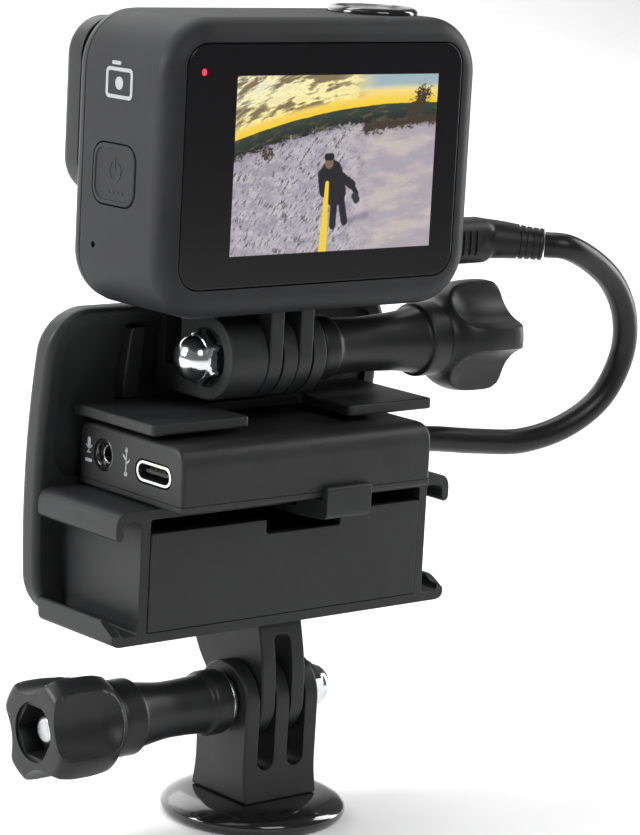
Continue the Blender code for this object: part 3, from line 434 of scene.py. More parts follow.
def settle(obj):
    """Turn an object's modifiers into its mesh."""
    bpy.context.view_layer.update()
    mesh = bpy.data.meshes.new_from_object(obj.evaluated_get(bpy.context.evaluated_depsgraph_get()))
    old = obj.data
    obj.modifiers.clear()
    obj.data = mesh
    bpy.data.meshes.remove(old)
    return obj


def weld(mesh, apart=1e-7, sliver=1e-8):
    """Join the vertices that lie within apart and dissolve the edges shorter than sliver, both in metres."""
    bm = bmesh.new()
    bm.from_mesh(mesh)
    bmesh.ops.remove_doubles(bm, verts=bm.verts, dist=apart)
    bmesh.ops.dissolve_degenerate(bm, edges=bm.edges, dist=sliver)
    bm.to_mesh(mesh)
    bm.free()


def cut(obj, *tools, operation="DIFFERENCE"):
    for tool in (obj, *tools):
        weld(tool.data)
    for tool in tools:
        modifier = obj.modifiers.new("cut", "BOOLEAN")
        modifier.operation = operation
        modifier.solver = "EXACT"
        modifier.object = tool
    settle(obj)
    for tool in tools:
        bpy.data.objects.remove(tool)
    return obj


def soften(obj, width, segments=3, angle=40):
    """Round the edges sharper than angle."""
    weld(obj.data, 1e-6, 1e-6)
    modifier = obj.modifiers.new("soften", "BEVEL")
    modifier.width = width * MM
    modifier.segments = segments
    modifier.limit_method = "ANGLE"
    modifier.angle_limit = math.radians(angle)
    modifier.miter_outer = "MITER_ARC"
    return settle(obj)


def loft(loops, cap=True):
    """A skin over loops of the same number of points, in the working frame."""
    bm = bmesh.new()
    rings = [[bm.verts.new(world(p)) for p in loop] for loop in loops]
    count = len(rings[0])
    for a, b in zip(rings, rings[1:]):
        for i in range(count):
            j = (i + 1) % count
            bm.faces.new((a[i], a[j], b[j], b[i]))
    if cap:
        bm.faces.new(rings[0][::-1])
        bm.faces.new(rings[-1])
    bmesh.ops.remove_doubles(bm, verts=bm.verts, dist=1e-7)
    bmesh.ops.dissolve_degenerate(bm, edges=bm.edges, dist=1e-8)
    bmesh.ops.recalc_face_normals(bm, faces=bm.faces)
    if bm.calc_volume(signed=True) < 0:
        bmesh.ops.reverse_faces(bm, faces=bm.faces)
    mesh = bpy.data.meshes.new("mesh")
    bm.to_mesh(mesh)
    bm.free()
    return mesh


def round_rect(half_u, half_v, radius, steps=10):
    radius = max(min(radius, half_u, half_v), 0.02)
    points = []
    for corner, (su, sv) in enumerate(((1, 1), (-1, 1), (-1, -1), (1, -1))):
        for i in range(steps + 1):
            angle = math.radians(90 * corner + 90 * i / steps)
            points.append((su * (half_u - radius) + radius * math.cos(angle),
                           sv * (half_v - radius) + radius * math.sin(angle)))
    return points


def shifted(outline, u0, v0):
    return [(u + u0, v + v0) for u, v in outline]


AXES = {"X": (1, 2, 0), "Y": (2, 0, 1), "Z": (0, 1, 2)}


def put(axis, u, v, along):
    """A point from two coordinates across an axis and one along it."""
    point = [0.0, 0.0, 0.0]
    for index, value in zip(AXES[axis], (u, v, along)):
        point[index] = value
    return point


def prism(low, high, axis="Y", radius=0.5, rims=(0.0, 0.0), steps=10, rim_steps=6):
    """A rounded block whose ends along axis have edges rounded by rims."""
    iu, iv, ia = AXES[axis]
    cu, cv = (low[iu] + high[iu]) / 2, (low[iv] + high[iv]) / 2
    half_u, half_v = (high[iu] - low[iu]) / 2, (high[iv] - low[iv]) / 2
    levels = []
    for end, rim, sign in ((low[ia], rims[0], 1), (high[ia], rims[1], -1)):
        turns = [math.radians(90 * k / rim_steps) for k in range(rim_steps + 1)] if rim else [math.pi / 2]
        stack = [(rim * (1 - math.sin(t)), end + sign * rim * (1 - math.cos(t))) for t in turns]
        levels += stack if sign > 0 else stack[::-1]
    loops = []
    for inset, along in levels:
        outline = round_rect(half_u - inset, half_v - inset, radius - inset, steps)
        loops.append([put(axis, cu + u, cv + v, along) for u, v in outline])
    return loft(loops)


def fillet(points, radius, steps=4, closed=True):
    """Round the corners of a path; radius is one value or one for each point."""
    radii = radius if isinstance(radius, (list, tuple)) else [radius] * len(points)
    smooth = []
    for i, here in enumerate(points):
        if not closed and i in (0, len(points) - 1) or radii[i] <= 0:
            smooth.append(here)
            continue
        before, after = Vector(points[i - 1]), Vector(points[(i + 1) % len(points)])
        corner = Vector(here)
        back, ahead = before - corner, after - corner
        reach = min(radii[i], back.length * 0.49, ahead.length * 0.49)
        start, end = corner + back.normalized() * reach, corner + ahead.normalized() * reach
        for k in range(steps + 1):
            t = k / steps
            smooth.append(tuple(start * (1 - t) ** 2 + corner * 2 * t * (1 - t) + end * t * t))
    return smooth


def shrink(outline, inset):
    """The outline moved inwards by inset, each corner along its own bisector."""
    area = sum(a[0] * b[1] - b[0] * a[1] for a, b in zip(outline, outline[1:] + outline[:1]))
    turn = 1 if area > 0 else -1
    moved = []
    for i, (u, v) in enumerate(outline):
        before, after = outline[i - 1], outline[(i + 1) % len(outline)]
        one = Vector((u - before[0], v - before[1])).normalized()
        two = Vector((after[0] - u, after[1] - v)).normalized()
        normal = Vector((-one.y - two.y, one.x + two.x)) * turn
        normal.normalize()
        cosine = max(0.35, abs(normal.dot(Vector((-one.y, one.x)))))
        moved.append((u + normal.x * inset / cosine, v + normal.y * inset / cosine))
    return moved


def slab(name, outline, axis, low, high, edge=0.3, steps=4):
    """An outline across an axis, given thickness along it, with rounded rims."""
    outline = [tuple(p) for i, p in enumerate(outline)
               if (Vector(p) - Vector(outline[i - 1])).length > 0.004]
    turns = [math.radians(90 * k / steps) for k in range(steps + 1)] if edge else [math.pi / 2]
    rim = [(edge * (1 - math.sin(t)), edge * (1 - math.cos(t))) for t in turns]
    levels = [(inset, low + rise) for inset, rise in rim] + [(inset, high - rise) for inset,
                                                             rise in rim[::-1]]
    loops = [[put(axis, u, v, along) for u, v in shrink(outline, inset)] for inset, along in levels]
    return bare(name, loft(loops))


def arc(u, v, radius, start, end, count):
    return [(u + radius * math.cos(math.radians(start + (end - start) * i / count)),
             v + radius * math.sin(math.radians(start + (end - start) * i / count)))
            for i in range(count + 1)]


DIRECTION = {"+X": ((1, 0, 0), (0, 1, 0), (0, 0, 1)), "-X": ((-1, 0, 0), (0, 1, 0), (0, 0, 1)),
             "+Y": ((0, 1, 0), (1, 0, 0), (0, 0, 1)), "-Y": ((0, -1, 0), (1, 0, 0), (0, 0, 1)),
             "+Z": ((0, 0, 1), (1, 0, 0), (0, 1, 0))}


def turned(profile, start, direction, shape=None, turns=72, ring=False):
    """A turned mesh: profile is (radius, distance) along direction from start. shape bends a radius."""
    ahead, side, up = (Vector(v) for v in DIRECTION[direction])
    start = Vector(start)
    loops = []
    for radius, distance in profile:
        loop = []
        for i in range(turns):
            angle = math.tau * i / turns
            r = shape(angle, radius, distance) if shape else radius
            loop.append(start + ahead * distance + (side * math.cos(angle) + up * math.sin(angle)) * r)
        loops.append(loop)
    if ring:
        loops.append(loops[0])
    return loft(loops, cap=False)


def rod(radius, start, length, direction, turns=48):
    return bare("rod", turned([(0, 0), (radius, 0), (radius, length), (0, length)], start,
                              direction, turns=turns))


def around(axis, middle, half, low, high):
    """Two corners of a box: half each way from middle across an axis, low to high along it."""
    return (put(axis, middle[0] - half[0], middle[1] - half[1], low),
            put(axis, middle[0] + half[0], middle[1] + half[1], high))


def block(low, high, axis="Y", radius=0.02, steps=6):
    return bare("block", prism(low, high, axis, radius, steps=steps))


def hexagon(flats, start, length, direction):
    corner = flats / math.sqrt(3)
    return bare("hexagon", turned([(0, 0), (corner, 0), (corner, length), (0, length)], start,
                                  direction, turns=6))


# ---------------------------------------------------------------- camera

def camera_shell():
    half = CAM_W / 2
    obj = bare("camera_shell", prism((-half, 0, 0), (half, SEAM, CAM_H), "Y", CORNER_R,
                                     (3.7, 0.25), 14, 9))
    cut(obj,
        block(*around("Y", (SCREEN_Z, SCREEN_X), (SCREEN_H / 2 + SCREEN_GAP, SCREEN_W / 2 + SCREEN_GAP), -1,
                      1.0), "Y", 4.2, 8),
        block(*around("X", (MODE_Y, MODE_Z), (MODE_W / 2 + KEY_GAP, MODE_H / 2 + KEY_GAP), -half - 1,
                      -half + 2.2), "X", 2.9, 8),
        rod(SHUTTER_R + 0.25, (SHUTTER_X, SHUTTER_Y, CAM_H - 3.0), 6, "+Z", 64),
        block(*around("X", (BAY_Y, BAY_Z), (BAY_W / 2, BAY_H / 2), BAY_END, half + 1), "X", 2.5, 8),
        block((UPPER_X - 15, 4.2, -1), (UPPER_X + 15, 19.8, 3.4), "Z", 3.0, 8),
        rod(9.0, (LENS_X, 16.0, LENS_Z), 10, "+Y", 64),
        rod(0.55, (-half - 1, 18.7, 10.5), 2.6, "+X", 20))
    soften(obj, 0.22, 2, 42)
    dress(obj, "camera", "camera", "rubber_black", ["camera_rear_housing"])


def camera_front():
    half = CAM_W / 2
    cover = bare("front_cover", prism((-half + 0.15, SEAM + 0.22, 0.15),
                                      (half - 0.15, CAM_FRONT, CAM_H - 0.15), "Y", CORNER_R - 0.15,
                                      (0.2, 1.9), 14, 7))
    cut(cover, rod(LENS_BORE, (LENS_X, SEAM - 1, LENS_Z), 6, "+Y", 64),
        block((FRONT_X0 - FRONT_SEAT, CAM_FRONT - 0.9, FRONT_Z0 - FRONT_SEAT),
              (FRONT_X1 + FRONT_SEAT, CAM_FRONT + 1, FRONT_Z1 + FRONT_SEAT), "Y", 2.1, 8),
        rod(0.9, (7.0, CAM_FRONT - 1.2, PEEP_Z), 3, "+Y", 20),
        *[rod(0.45, (12.0 + 1.6 * i, CAM_FRONT - 1.0, PEEP_Z), 3, "+Y", 14) for i in range(SOUND_HOLES)],
        *[block((-30.0, CAM_FRONT - 0.45, 4.2 + 1.7 * i), (24.0, CAM_FRONT + 1, 4.9 + 1.7 * i), "Y", 0.3, 3)
          for i in range(GROOVES)])
    soften(cover, 0.12, 2, 42)
    dress(cover, "cover", "camera", "plastic_black", ["camera_front_cover"])

    reach = LENS_SIDE / 2
    bezel = bare("lens_surround", prism((LENS_X - reach, CAM_FRONT + 0.05, LENS_Z - reach),
                                        (LENS_X + reach, LENS_FRONT, LENS_Z + reach), "Y", 6.4,
                                        (0.0, 2.0), 12, 7))
    cut(bezel, rod(LENS_BORE, (LENS_X, CAM_FRONT - 1, LENS_Z), 8, "+Y", 64),
        rod(GLASS_SEAT, (LENS_X, LENS_FRONT - 1.7, LENS_Z), 4, "+Y", 80))
    soften(bezel, 0.18, 2, 42)
    dress(bezel, "bezel", "camera", "plastic_black", ["lens_bezel"])

    glass = fillet([(0, 0), (GLASS_R, 0), (GLASS_R, 1.35), (0, 1.35)], [0, 0.15, 0.3, 0], 3, False)
    piece("lens_cover", turned(glass, (LENS_X, LENS_FRONT - 1.55, LENS_Z), "+Y", turns=80),
          "lens", "camera", "lens_glass", ["lens_cover_glass"])
    steps = [(0, 0), (8.8, 0), (8.8, 12.0), (8.3, 12.0), (8.1, 11.2), (7.9, 11.2), (7.7, 10.2), (7.5, 10.2),
             (7.3, 9.2), (7.1, 9.2), (7.0, 5.0), (0, 3.6)]
    piece("lens_tube", turned(steps, (LENS_X, 16.2, LENS_Z), "+Y", turns=72), "bezel",
          "camera", "plastic_black", ["lens_barrel"])
    dome = [(0, 0), (6.7, 0)] + [(6.8 * math.cos(t), 1.2 + 3.6 * math.sin(t))
                                 for t in [math.radians(a) for a in range(0, 91, 9)]]
    piece("front_element", turned(dome, (LENS_X, 20.4, LENS_Z), "+Y", turns=72), "optic",
          "camera", "lens_glass", ["lens_front_element"])
    piece("front_display",
          prism((FRONT_X0, CAM_FRONT - 0.75, FRONT_Z0), (FRONT_X1, CAM_FRONT - 0.05, FRONT_Z1),
                "Y", 1.9, (0.0, 0.2), 8, 3), "gloss", "camera", "glass_black",
          ["front_display_glass"])


def camera_back():
    glass = bare("rear_screen", prism((SCREEN_X - SCREEN_W / 2, 0.02, SCREEN_Z - SCREEN_H / 2),
                                      (SCREEN_X + SCREEN_W / 2, 0.8, SCREEN_Z + SCREEN_H / 2), "Y", 4.0,
                                      (0.22, 0.0), 10, 4))
    cut(glass, rod(0.62, (LED_X, -1, LED_Z), 3, "+Y", 24))
    dress(glass, "screen", "camera", "glass_black", ["rear_screen_glass"])
    bead = [(0, 0), (0.55, 0), (0.55, 0.55), (0.4, 0.72), (0, 0.78)]
    piece("record_light", turned(bead, (LED_X, 0.85, LED_Z), "-Y", turns=24), "red", "camera",
          "light_red", ["rear_status_light"])


def camera_buttons():
    half = CAM_W / 2
    rim = bare("mode_key_cap", prism(*around("X", (MODE_Y, MODE_Z), (MODE_W / 2, MODE_H / 2), -half - 0.18,
                                             -half + 1.5), "X", 2.7, (0.35, 0.0), 8, 4))
    cut(rim, block(*around("X", (MODE_Y, MODE_Z), (MODE_W / 2 - KEY_RIM, MODE_H / 2 - KEY_RIM), -half - 1,
                           -half - 0.02), "X", 2.1, 8))
    soften(rim, 0.08, 2, 42)
    dress(rim, "camera", "mode_key", "plastic_black", ["mode_button"])
    ring_y, ring_z, face = MODE_Y - 0.2, MODE_Z + 0.55, -half - 0.08
    outer = arc(0, 0, 1.75, 125, 415, 28)
    inner = arc(0, 0, 1.35, 415, 125, 28)
    symbol = slab("power_symbol", shifted(outer + inner, ring_y, ring_z), "X", face, face + MARK_T,
                  0.0)
    dress(symbol, "dark_hole", "mode_key", "plastic_black", level=False)
    bar = slab("power_symbol_bar",
               shifted(fillet([(-0.2, 0.35), (0.2, 0.35), (0.2, 2.25), (-0.2, 2.25)], 0.12, 3), ring_y,
                       ring_z), "X", face, face + MARK_T, 0.0)
    dress(bar, "dark_hole", "mode_key", "plastic_black", level=False)
    dots = [block((face, ring_y - 2.4 + 1.2 * i, MODE_Z - 3.15), (face + MARK_T, ring_y - 1.7 + 1.2 * i,
                                                                  MODE_Z - 2.65), "X", 0.2, 4)
            for i in range(4)]
    for i, dot in enumerate(dots):
        dot.name = f"mode_mark_{i + 1}"
        dress(dot, "dark_hole", "mode_key", "plastic_black", level=False)

    seat = [(0, 0), (SHUTTER_R, 0), (SHUTTER_R, 2.5), (SHUTTER_R - 0.7, 3.0), (SHUTTER_R - 1.1, 3.0),
            (SHUTTER_R - 1.5, 2.7), (0, 2.62)]
    profile = fillet(seat, [0, 0.1, 0.4, 0.3, 0.3, 0.4, 0], 4, False)
    piece("shutter_key", turned(profile, (SHUTTER_X, SHUTTER_Y, CAM_H - 1.9), "+Z", turns=80),
          "gloss", "shutter", "gloss_black", ["shutter_button"])


def side_badge():
    """A plain pictogram of a camera: a rounded frame, a dot for its lens and a bar for its viewfinder."""
    face, y, z = -CAM_W / 2 - 0.07, 13.2, 37.2
    frame_piece = slab("side_badge_frame", shifted(round_rect(3.6, 2.5, 0.9, 6), y, z), "X",
                       face, face + 0.2, 0.0)
    cut(frame_piece, block((face - 1, y - 3.0, z - 1.9), (face + 1, y + 3.0, z + 1.9), "X", 0.4, 5))
    dress(frame_piece, "mark", "camera", "plastic_black", level=False)
    dot = shifted(arc(0, 0, 1.05, 0, 348, 29), y, z)
    bar = shifted(round_rect(1.2, 0.3, 0.25, 5), y + 0.9, z + 3.2)
    for name, outline in (("side_badge_dot", dot), ("side_badge_bar", bar)):
        dress(slab(name, outline, "X", face, face + 0.2, 0.0), "mark", "camera", "plastic_black",
              level=False)


def camera_bay():
    cell = bare("battery_cell", prism((-8.0, 6.4, 13.5), (29.3, 17.4, 41.7), "X", 1.3,
                                      (0.4, 0.5), 6, 4))
    cut(cell, *[block((29.0, 15.0, 16.0 + 2.6 * i), (29.6, 16.4, 17.6 + 2.6 * i), "X", 0.2, 3)
                for i in range(3)])
    dress(cell, "wrap", "battery_pack", "battery_wrap", ["battery"])
    strip = fillet([(29.6, 24.2), (31.2, 24.2), (31.2, 30.8), (29.6, 30.8)], 0.5, 4)
    tab = slab("pull_tab", [(v, u) for u, v in strip], "Y", 8.2, 15.6, 0.2)
    dress(tab, "tab", "battery_pack", "tab_blue", ["battery_pull_tab"])
    card = slab("storage_card", [(20.0, 14.5), (31.0, 14.5), (31.0, 28.0), (29.6, 29.5), (20.0, 29.5)], "Y",
                18.3, 19.1, 0.08, 2)
    dress(card, "dark_hole", "card", "plastic_black", ["memory_card"])
    shell = bare("camera_socket", prism(*around("X", (USB_Y, USB_Z), (4.85, 1.9), 24.0, 30.6), "X", 1.85,
                                        (0.2, 0.15), 8, 3))
    cut(shell, block(*around("X", (USB_Y, USB_Z), (4.5, 1.55), 22.0, 32.0), "X", 1.5, 8))
    dress(shell, "port", "camera", "steel", ["camera_usb_port"])


def camera_fingers():
    for side, x in (("left", UPPER_X - PITCH), ("right", UPPER_X + PITCH)):
        outline = arc(UPPER_Y, UPPER_Z, UPPER_R, 180, 360, 40)
        outline += [(UPPER_Y + UPPER_R, 3.0), (UPPER_Y - UPPER_R, 3.0)]
        finger = slab("finger_" + side, outline, "X", x - BLADE / 2, x + BLADE / 2, 0.35)
        cut(finger, rod(SCREW_HOLE, (x - 3, UPPER_Y, UPPER_Z), 6, "+X"),
            rod(0.9, (x, 3.0, 1.5), 18, "+Y", 20))
        dress(finger, "finger", "camera", "plastic_black", ["mount_finger_" + side])


# ---------------------------------------------------------------- plug and cable

ELBOW_ROOT, ELBOW_TIP = Vector((46.6, 11.5, 9.1)), Vector((55.0, 5.0, 8.4))
ELBOW_WAY = (ELBOW_TIP - ELBOW_ROOT).normalized()
CABLE_ROUTE = [(33.0, 12.3, -26.3), (38.5, 11.9, -26.6), (47.5, 10.9, -27.6), (57.5, 9.6, -28.1),
               (67.0, 8.1, -25.7), (74.0, 6.6, -20.6), (77.2, 5.3, -12.8), (76.0, 4.2, -5.4),
               (71.6, 3.3, 0.8), (65.2, 2.4, 5.2), ELBOW_TIP + ELBOW_WAY * 4.5,
               ELBOW_TIP + ELBOW_WAY * GAP]


def smooth_course(points, spacing):
    """Evenly spaced points on a Catmull-Rom curve through the given ones."""
    knots = [Vector(p) for p in points]
    knots = [knots[0] * 2 - knots[1]] + knots + [knots[-1] * 2 - knots[-2]]
    fine = []
    for a, b, c, d in zip(knots, knots[1:], knots[2:], knots[3:]):
        for i in range(20):
            t = i / 20
            fine.append(0.5 * (2 * b + (c - a) * t + (2 * a - 5 * b + 4 * c - d) * t ** 2
                               + (3 * b - a - 3 * c + d) * t ** 3))
    fine.append(knots[-2])
    lengths = [0.0]
    for a, b in zip(fine, fine[1:]):
        lengths.append(lengths[-1] + (b - a).length)
    count = round(lengths[-1] / spacing)
    course, k = [], 0
    for i in range(count + 1):
        want = lengths[-1] * i / count
        while k < len(fine) - 2 and lengths[k + 1] < want:
            k += 1
        share = (want - lengths[k]) / max(lengths[k + 1] - lengths[k], 1e-9)
        course.append(fine[k].lerp(fine[k + 1], min(1.0, share)))
    return course, lengths[-1]


def sweep(course, radii, sides=24):
    """A tube along a course, its ring kept from twisting."""
    normal = Vector((0, 1, 0))
    loops = []
    for i, here in enumerate(course):
        ahead = (course[min(i + 1, len(course) - 1)] - course[max(i - 1, 0)]).normalized()
        normal = (normal - ahead * normal.dot(ahead)).normalized()
        other = ahead.cross(normal)
        loops.append([here
                      + (normal * math.cos(math.tau * k / sides) + other * math.sin(math.tau * k / sides))
                      * radii[i] for k in range(sides)])
    return loft(loops)


def plug_and_cable():
    body = prism((34.5, USB_Y - 3.6, USB_Z - 4.0), (46.5, USB_Y + 3.4, USB_Z + 4.0), "X", 2.6,
                 (0.9, 1.6), 8, 5)
    plug = bare("angled_plug", body)
    bend = [Vector((43.5, 11.4, 9.0)), Vector((46.6, 11.1, 9.0)), Vector((49.4, 9.3, 8.9)),
            ELBOW_TIP - ELBOW_WAY * 3.4, ELBOW_TIP]
    course = smooth_course(bend, 0.5)[0]
    radii = [3.9 - 1.0 * min(1.0, i / len(course) * 1.25) for i in range(len(course))]
    cut(plug, bare("elbow", sweep(course, radii, 32)), operation="UNION")
    remesh = plug.modifiers.new("blend_shapes", "REMESH")
    remesh.mode = "VOXEL"
    remesh.voxel_size = 0.28 * MM
    smooth = plug.modifiers.new("melt", "SMOOTH")
    smooth.iterations = 6
    settle(plug)
    rings = []
    for step in range(4):
        middle = ELBOW_TIP - ELBOW_WAY * (0.9 + 1.15 * step)
        ring = [middle + ELBOW_WAY * d for d in (-0.2, 0.2)]
        rings.append(bare("groove", sweep(ring, [4.2, 4.2], 32)))
        cut(rings[-1], bare("core", sweep([middle - ELBOW_WAY, middle + ELBOW_WAY],
                                          [2.62 + 0.05 * step] * 2, 32)))
    cut(plug, *rings)
    grips = [block((36.6 + 1.5 * i, USB_Y - 3.9, USB_Z - 2.2), (37.3 + 1.5 * i, USB_Y - 3.35, USB_Z + 2.2),
                   "Y", 0.3, 4) for i in range(4)]
    cut(plug, *grips)
    dress(plug, "plug", "camera", "rubber_black", ["camera_plug"], 40, False)
    frame["nodes"]["plug_metal_shell"].data.materials[0] = LOOK["port"]

    course, length = smooth_course(CABLE_ROUTE, 0.9)
    cable = bare("cable_run", sweep(course, [CABLE_R] * len(course), 28))
    cable.data.materials.append(LOOK["cable"])
    cable.data.shade_smooth()
    cable.data.set_sharp_from_angle(angle=math.radians(50))
    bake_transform(cable)
    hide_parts("usb_cable")
    length * MM

    profile = [(0, 0), (4.1, 0), (4.2, 0.3), (4.2, 0.9), (3.6, 1.2)]
    for i in range(5):
        start, radius = 1.5 + 1.15 * i, 3.5 - 0.13 * i
        profile += [(radius, start), (radius, start + 0.7), (radius - 0.55, start + 0.8),
                    (radius - 0.55, start + 1.1)]
    profile += [(2.8, 7.2), (2.6, 7.4), (0, 7.4)]
    piece("cable_boot", turned(profile, (ADP_X1 + 0.05, CABLE_Y, CABLE_Z), "+X", turns=48),
          "plug", "holder", "rubber_black", ["adapter_strain_relief"], 30, False)


# ---------------------------------------------------------------- holder

def dress_holder(obj, node, body="holder", sharp=34):
    return dress(obj, "holder", body, "plastic_dark", [node], sharp)


def plate_far(z):
    return PLATE_FAR - PLATE_BOW * (z - PLATE_BOW_Z) ** 2


def plate_near(z):
    return plate_far(z) - PLATE_T


def bowed(name, half_width, top, bottom, radius, near, far, rims=(0.0, 0.0)):
    """An upright rounded plate whose faces follow the back plate's bow."""
    mesh = prism((-half_width, near, bottom), (half_width, far, top), "Y", radius, rims, 12, 5)
    bm = bmesh.new()
    bm.from_mesh(mesh)
    count = 20
    for i in range(1, count):
        height = world((0, 0, bottom + (top - bottom) * i / count)).z
        bmesh.ops.bisect_plane(bm, geom=bm.verts[:] + bm.edges[:] + bm.faces[:], dist=1e-7,
                               plane_co=(0, 0, height), plane_no=(0, 0, 1))
    for vert in bm.verts:
        z = (vert.co.z - WORK_ZERO.z) / MM
        vert.co.y -= PLATE_BOW * (z - PLATE_BOW_Z) ** 2 * MM
    bmesh.ops.triangulate(bm, faces=[f for f in bm.faces if len(f.verts) > 4])
    bm.to_mesh(mesh)
    bm.free()
    return bare(name, mesh)


def back_plate():
    near = PLATE_FAR - PLATE_T
    plate = bowed("curved_plate", PLATE_HALF, PLATE_TOP, PLATE_BOTTOM, PLATE_R, near, PLATE_FAR, (1.3, 1.9))
    cut(plate, bowed("recess", PLATE_HALF - 3.0, PLATE_TOP - 3.0, SHELF_TOP + 1.0, 5.0, near - 3,
                     near + 1.2))
    dress_holder(plate, "back_plate", sharp=32)
    heights = [ROOF_TOP + 0.2 + (-5.0 - ROOF_TOP) * i / 6 for i in range(7)]
    rib = [(plate_near(z) + 1.3, z) for z in heights] + [(plate_near(z) - 1.0, z) for z in heights[::-1]]
    dress_holder(slab("upright_rib", rib, "X", -21.0, -17.8, 0.4), "plate_rib", sharp=35)


def box_frame():
    right = [(35.0, BOX_BOTTOM), (LIP_OUT, -53.3), (LIP_OUT, -50.2), (35.3, -49.8), (34.7, -50.4),
             (34.6, FLOOR_TOP + 0.6), (34.0, FLOOR_TOP), (BOX_WALL, FLOOR_TOP), (BOX_WALL, SHELF_UNDER),
             (33.7, SHELF_UNDER), (34.5, -33.9), (34.5, -35.6), (35.1, -36.4), (LIP_OUT, -35.8),
             (LIP_OUT, -33.2), (35.5, -31.9), (34.1, SHELF_TOP)]
    radii = [1.6, 1.4, 0.7, 0.5, 0.5, 0.8, 0.8, 0.6, 0.6, 0.8, 0.8, 0.7, 0.5, 0.7, 1.4, 1.5, 1.2]
    outline = fillet(right + [(-u, v) for u, v in reversed(right)], radii + radii[::-1], 5)
    frame_piece = slab("box_tube", [(v, u) for u, v in outline], "Y", BOX_FRONT, 30.0, 0.2)
    cut(frame_piece,
        block((-BOX_INSIDE, BOX_FRONT - 2, FLOOR_TOP), (BOX_INSIDE, 34, SHELF_UNDER), "Y", 0.5, 4),
        bowed("trim", PLATE_HALF + 3, SHELF_TOP + 8, BOX_BOTTOM - 8, 0.5, PLATE_FAR - PLATE_T - 0.05,
              PLATE_FAR + 9))
    for side in (-1, 1):
        wedge = [(-49.0, 4.0), (-52.6, 4.0), (-49.0, 10.5)]
        low, high = sorted((side * 34.65, side * 38.0))
        mesh = loft([[(x, y, z) for z, y in wedge] for x in (low, high)])
        cut(frame_piece, bare("wedge", mesh))
    dress_holder(frame_piece, "box_frame")


def front_panel():
    low_z, top = FLOOR_TOP + 0.14, PANEL_TOP
    left, right = NOTCH_X - NOTCH_W / 2, NOTCH_X + NOTCH_W / 2
    half = BOX_INSIDE - 0.14
    outline = [(-half, low_z), (half, low_z), (half, top), (right, top), (right, top - NOTCH_DEEP),
               (left, top - NOTCH_DEEP), (left, top), (-half, top)]
    outline = fillet(outline, [0.4, 0.4, 0.6, 0.5, 0.6, 0.6, 0.5, 0.6], 4)
    panel = slab("panel", [(v, u) for u, v in outline], "Y", BOX_FRONT - 0.2, BOX_FRONT + 1.6, 0.22)
    dress_holder(panel, "front_panel")


def roof():
    near, far, left, right = 4.5, plate_near(ROOF_TOP) - 0.05, -30.0, 30.5
    outline = [(left, far), (left, near), (-10.0, near), (-10.0, 17.3), (11.5, 17.3), (11.5, near),
               (right, near), (right, far)]
    outline = fillet(outline, [0, 1.0, 0.9, 0.9, 0.9, 0.9, 1.0, 0], 5)
    dress_holder(slab("roof_shelf", outline, "Z", ROOF_TOP - ROOF_T, ROOF_TOP, 0.4), "adapter_roof")


def upper_prongs():
    x0 = UPPER_X - PITCH * 2 - BLADE / 2 - BOSS_OUT
    x1 = UPPER_X + PITCH * 2 + BLADE / 2
    under, over = UPPER_Z - UPPER_R, UPPER_Z + UPPER_R
    outline = arc(UPPER_Y, UPPER_Z, UPPER_R, 90, 270, 40)
    outline += [(plate_near(z) + (1.1 if z > -9 else 0.0), z) for z in (under, under + 4, UPPER_Z,
                                                                        over - 1.5)]
    outline += [(plate_near(over) - 1.0, over)]
    mount = slab("prong_block", outline, "X", x0, x1, 0.45)
    cut(mount, *[block((x - SLOT_GAP / 2, -1, under - 2),
                       (x + SLOT_GAP / 2, UPPER_Y + UPPER_R + 1.1, over + 2),
                       "X", 0.02) for x in (UPPER_X - PITCH, UPPER_X + PITCH)],
        rod(SCREW_HOLE, (x0 - 1, UPPER_Y, UPPER_Z), x1 - x0 + 2, "+X"),
        rod(SCREW_SEAT, (x0 - 1, UPPER_Y, UPPER_Z), POCKET + 1, "+X", 64),
        block((x0 - 1, 19.0, UPPER_Z - 2.7), (x0 + 3.6, 23.2, over - 1.6), "X", 0.6, 4))
    soften(mount, 0.22, 2, 50)
    dress_holder(mount, "upper_prong_mount")


def lower_prongs():
    top = BOX_BOTTOM - 0.05
    x0, x1 = LOWER_X - PITCH - BLADE / 2, LOWER_X + PITCH + BLADE / 2
    outline = arc(LOWER_Y, LOWER_Z, LOWER_R, 180, 338, 34)
    outline += fillet([(20.5, -65.0), (22.6, -62.6), (25.2, -58.0), (25.2, top), (6.4, top), (5.0, -60.0),
                       (4.65, -64.0)], [0, 1.5, 1.0, 0, 0, 2.0, 0], 5, False)
    mount = slab("lower_prongs", outline, "X", x0, x1, 0.4)
    cut(mount, block((LOWER_X - SLOT_GAP / 2, -2, LOWER_Z - 14), (LOWER_X + SLOT_GAP / 2, 34, top - 2.2),
                     "Y", 1.2, 6), rod(SCREW_HOLE, (x0 - 1, LOWER_Y, LOWER_Z), x1 - x0 + 2, "+X"))
    soften(mount, 0.2, 2, 50)
    dress_holder(mount, "lower_prong_mount")


def latch():
    front, under, pivot_y = -3.6, -35.1, 19.0
    arm_top, leaf_top, hook_top = ADP_Z0 - 0.2, -33.5, -29.0
    outline = [(front, under + 0.6), (4.6, under), (pivot_y + 1.5, under), (pivot_y + 1.5, leaf_top),
               (4.6, leaf_top), (4.6, arm_top), (ADP_Y0 - 0.2, arm_top), (ADP_Y0 - 0.2, hook_top),
               (front, hook_top)]
    outline = fillet(outline, [1.2, 0.5, 0.3, 0.3, 0.3, 0.3, 0.3, 0.4, 0.8], 5)
    dress_holder(slab("latch_hook", outline, "X", 0.9, 10.6, 0.2), "adapter_latch", "latch")


# ---------------------------------------------------------------- adapter

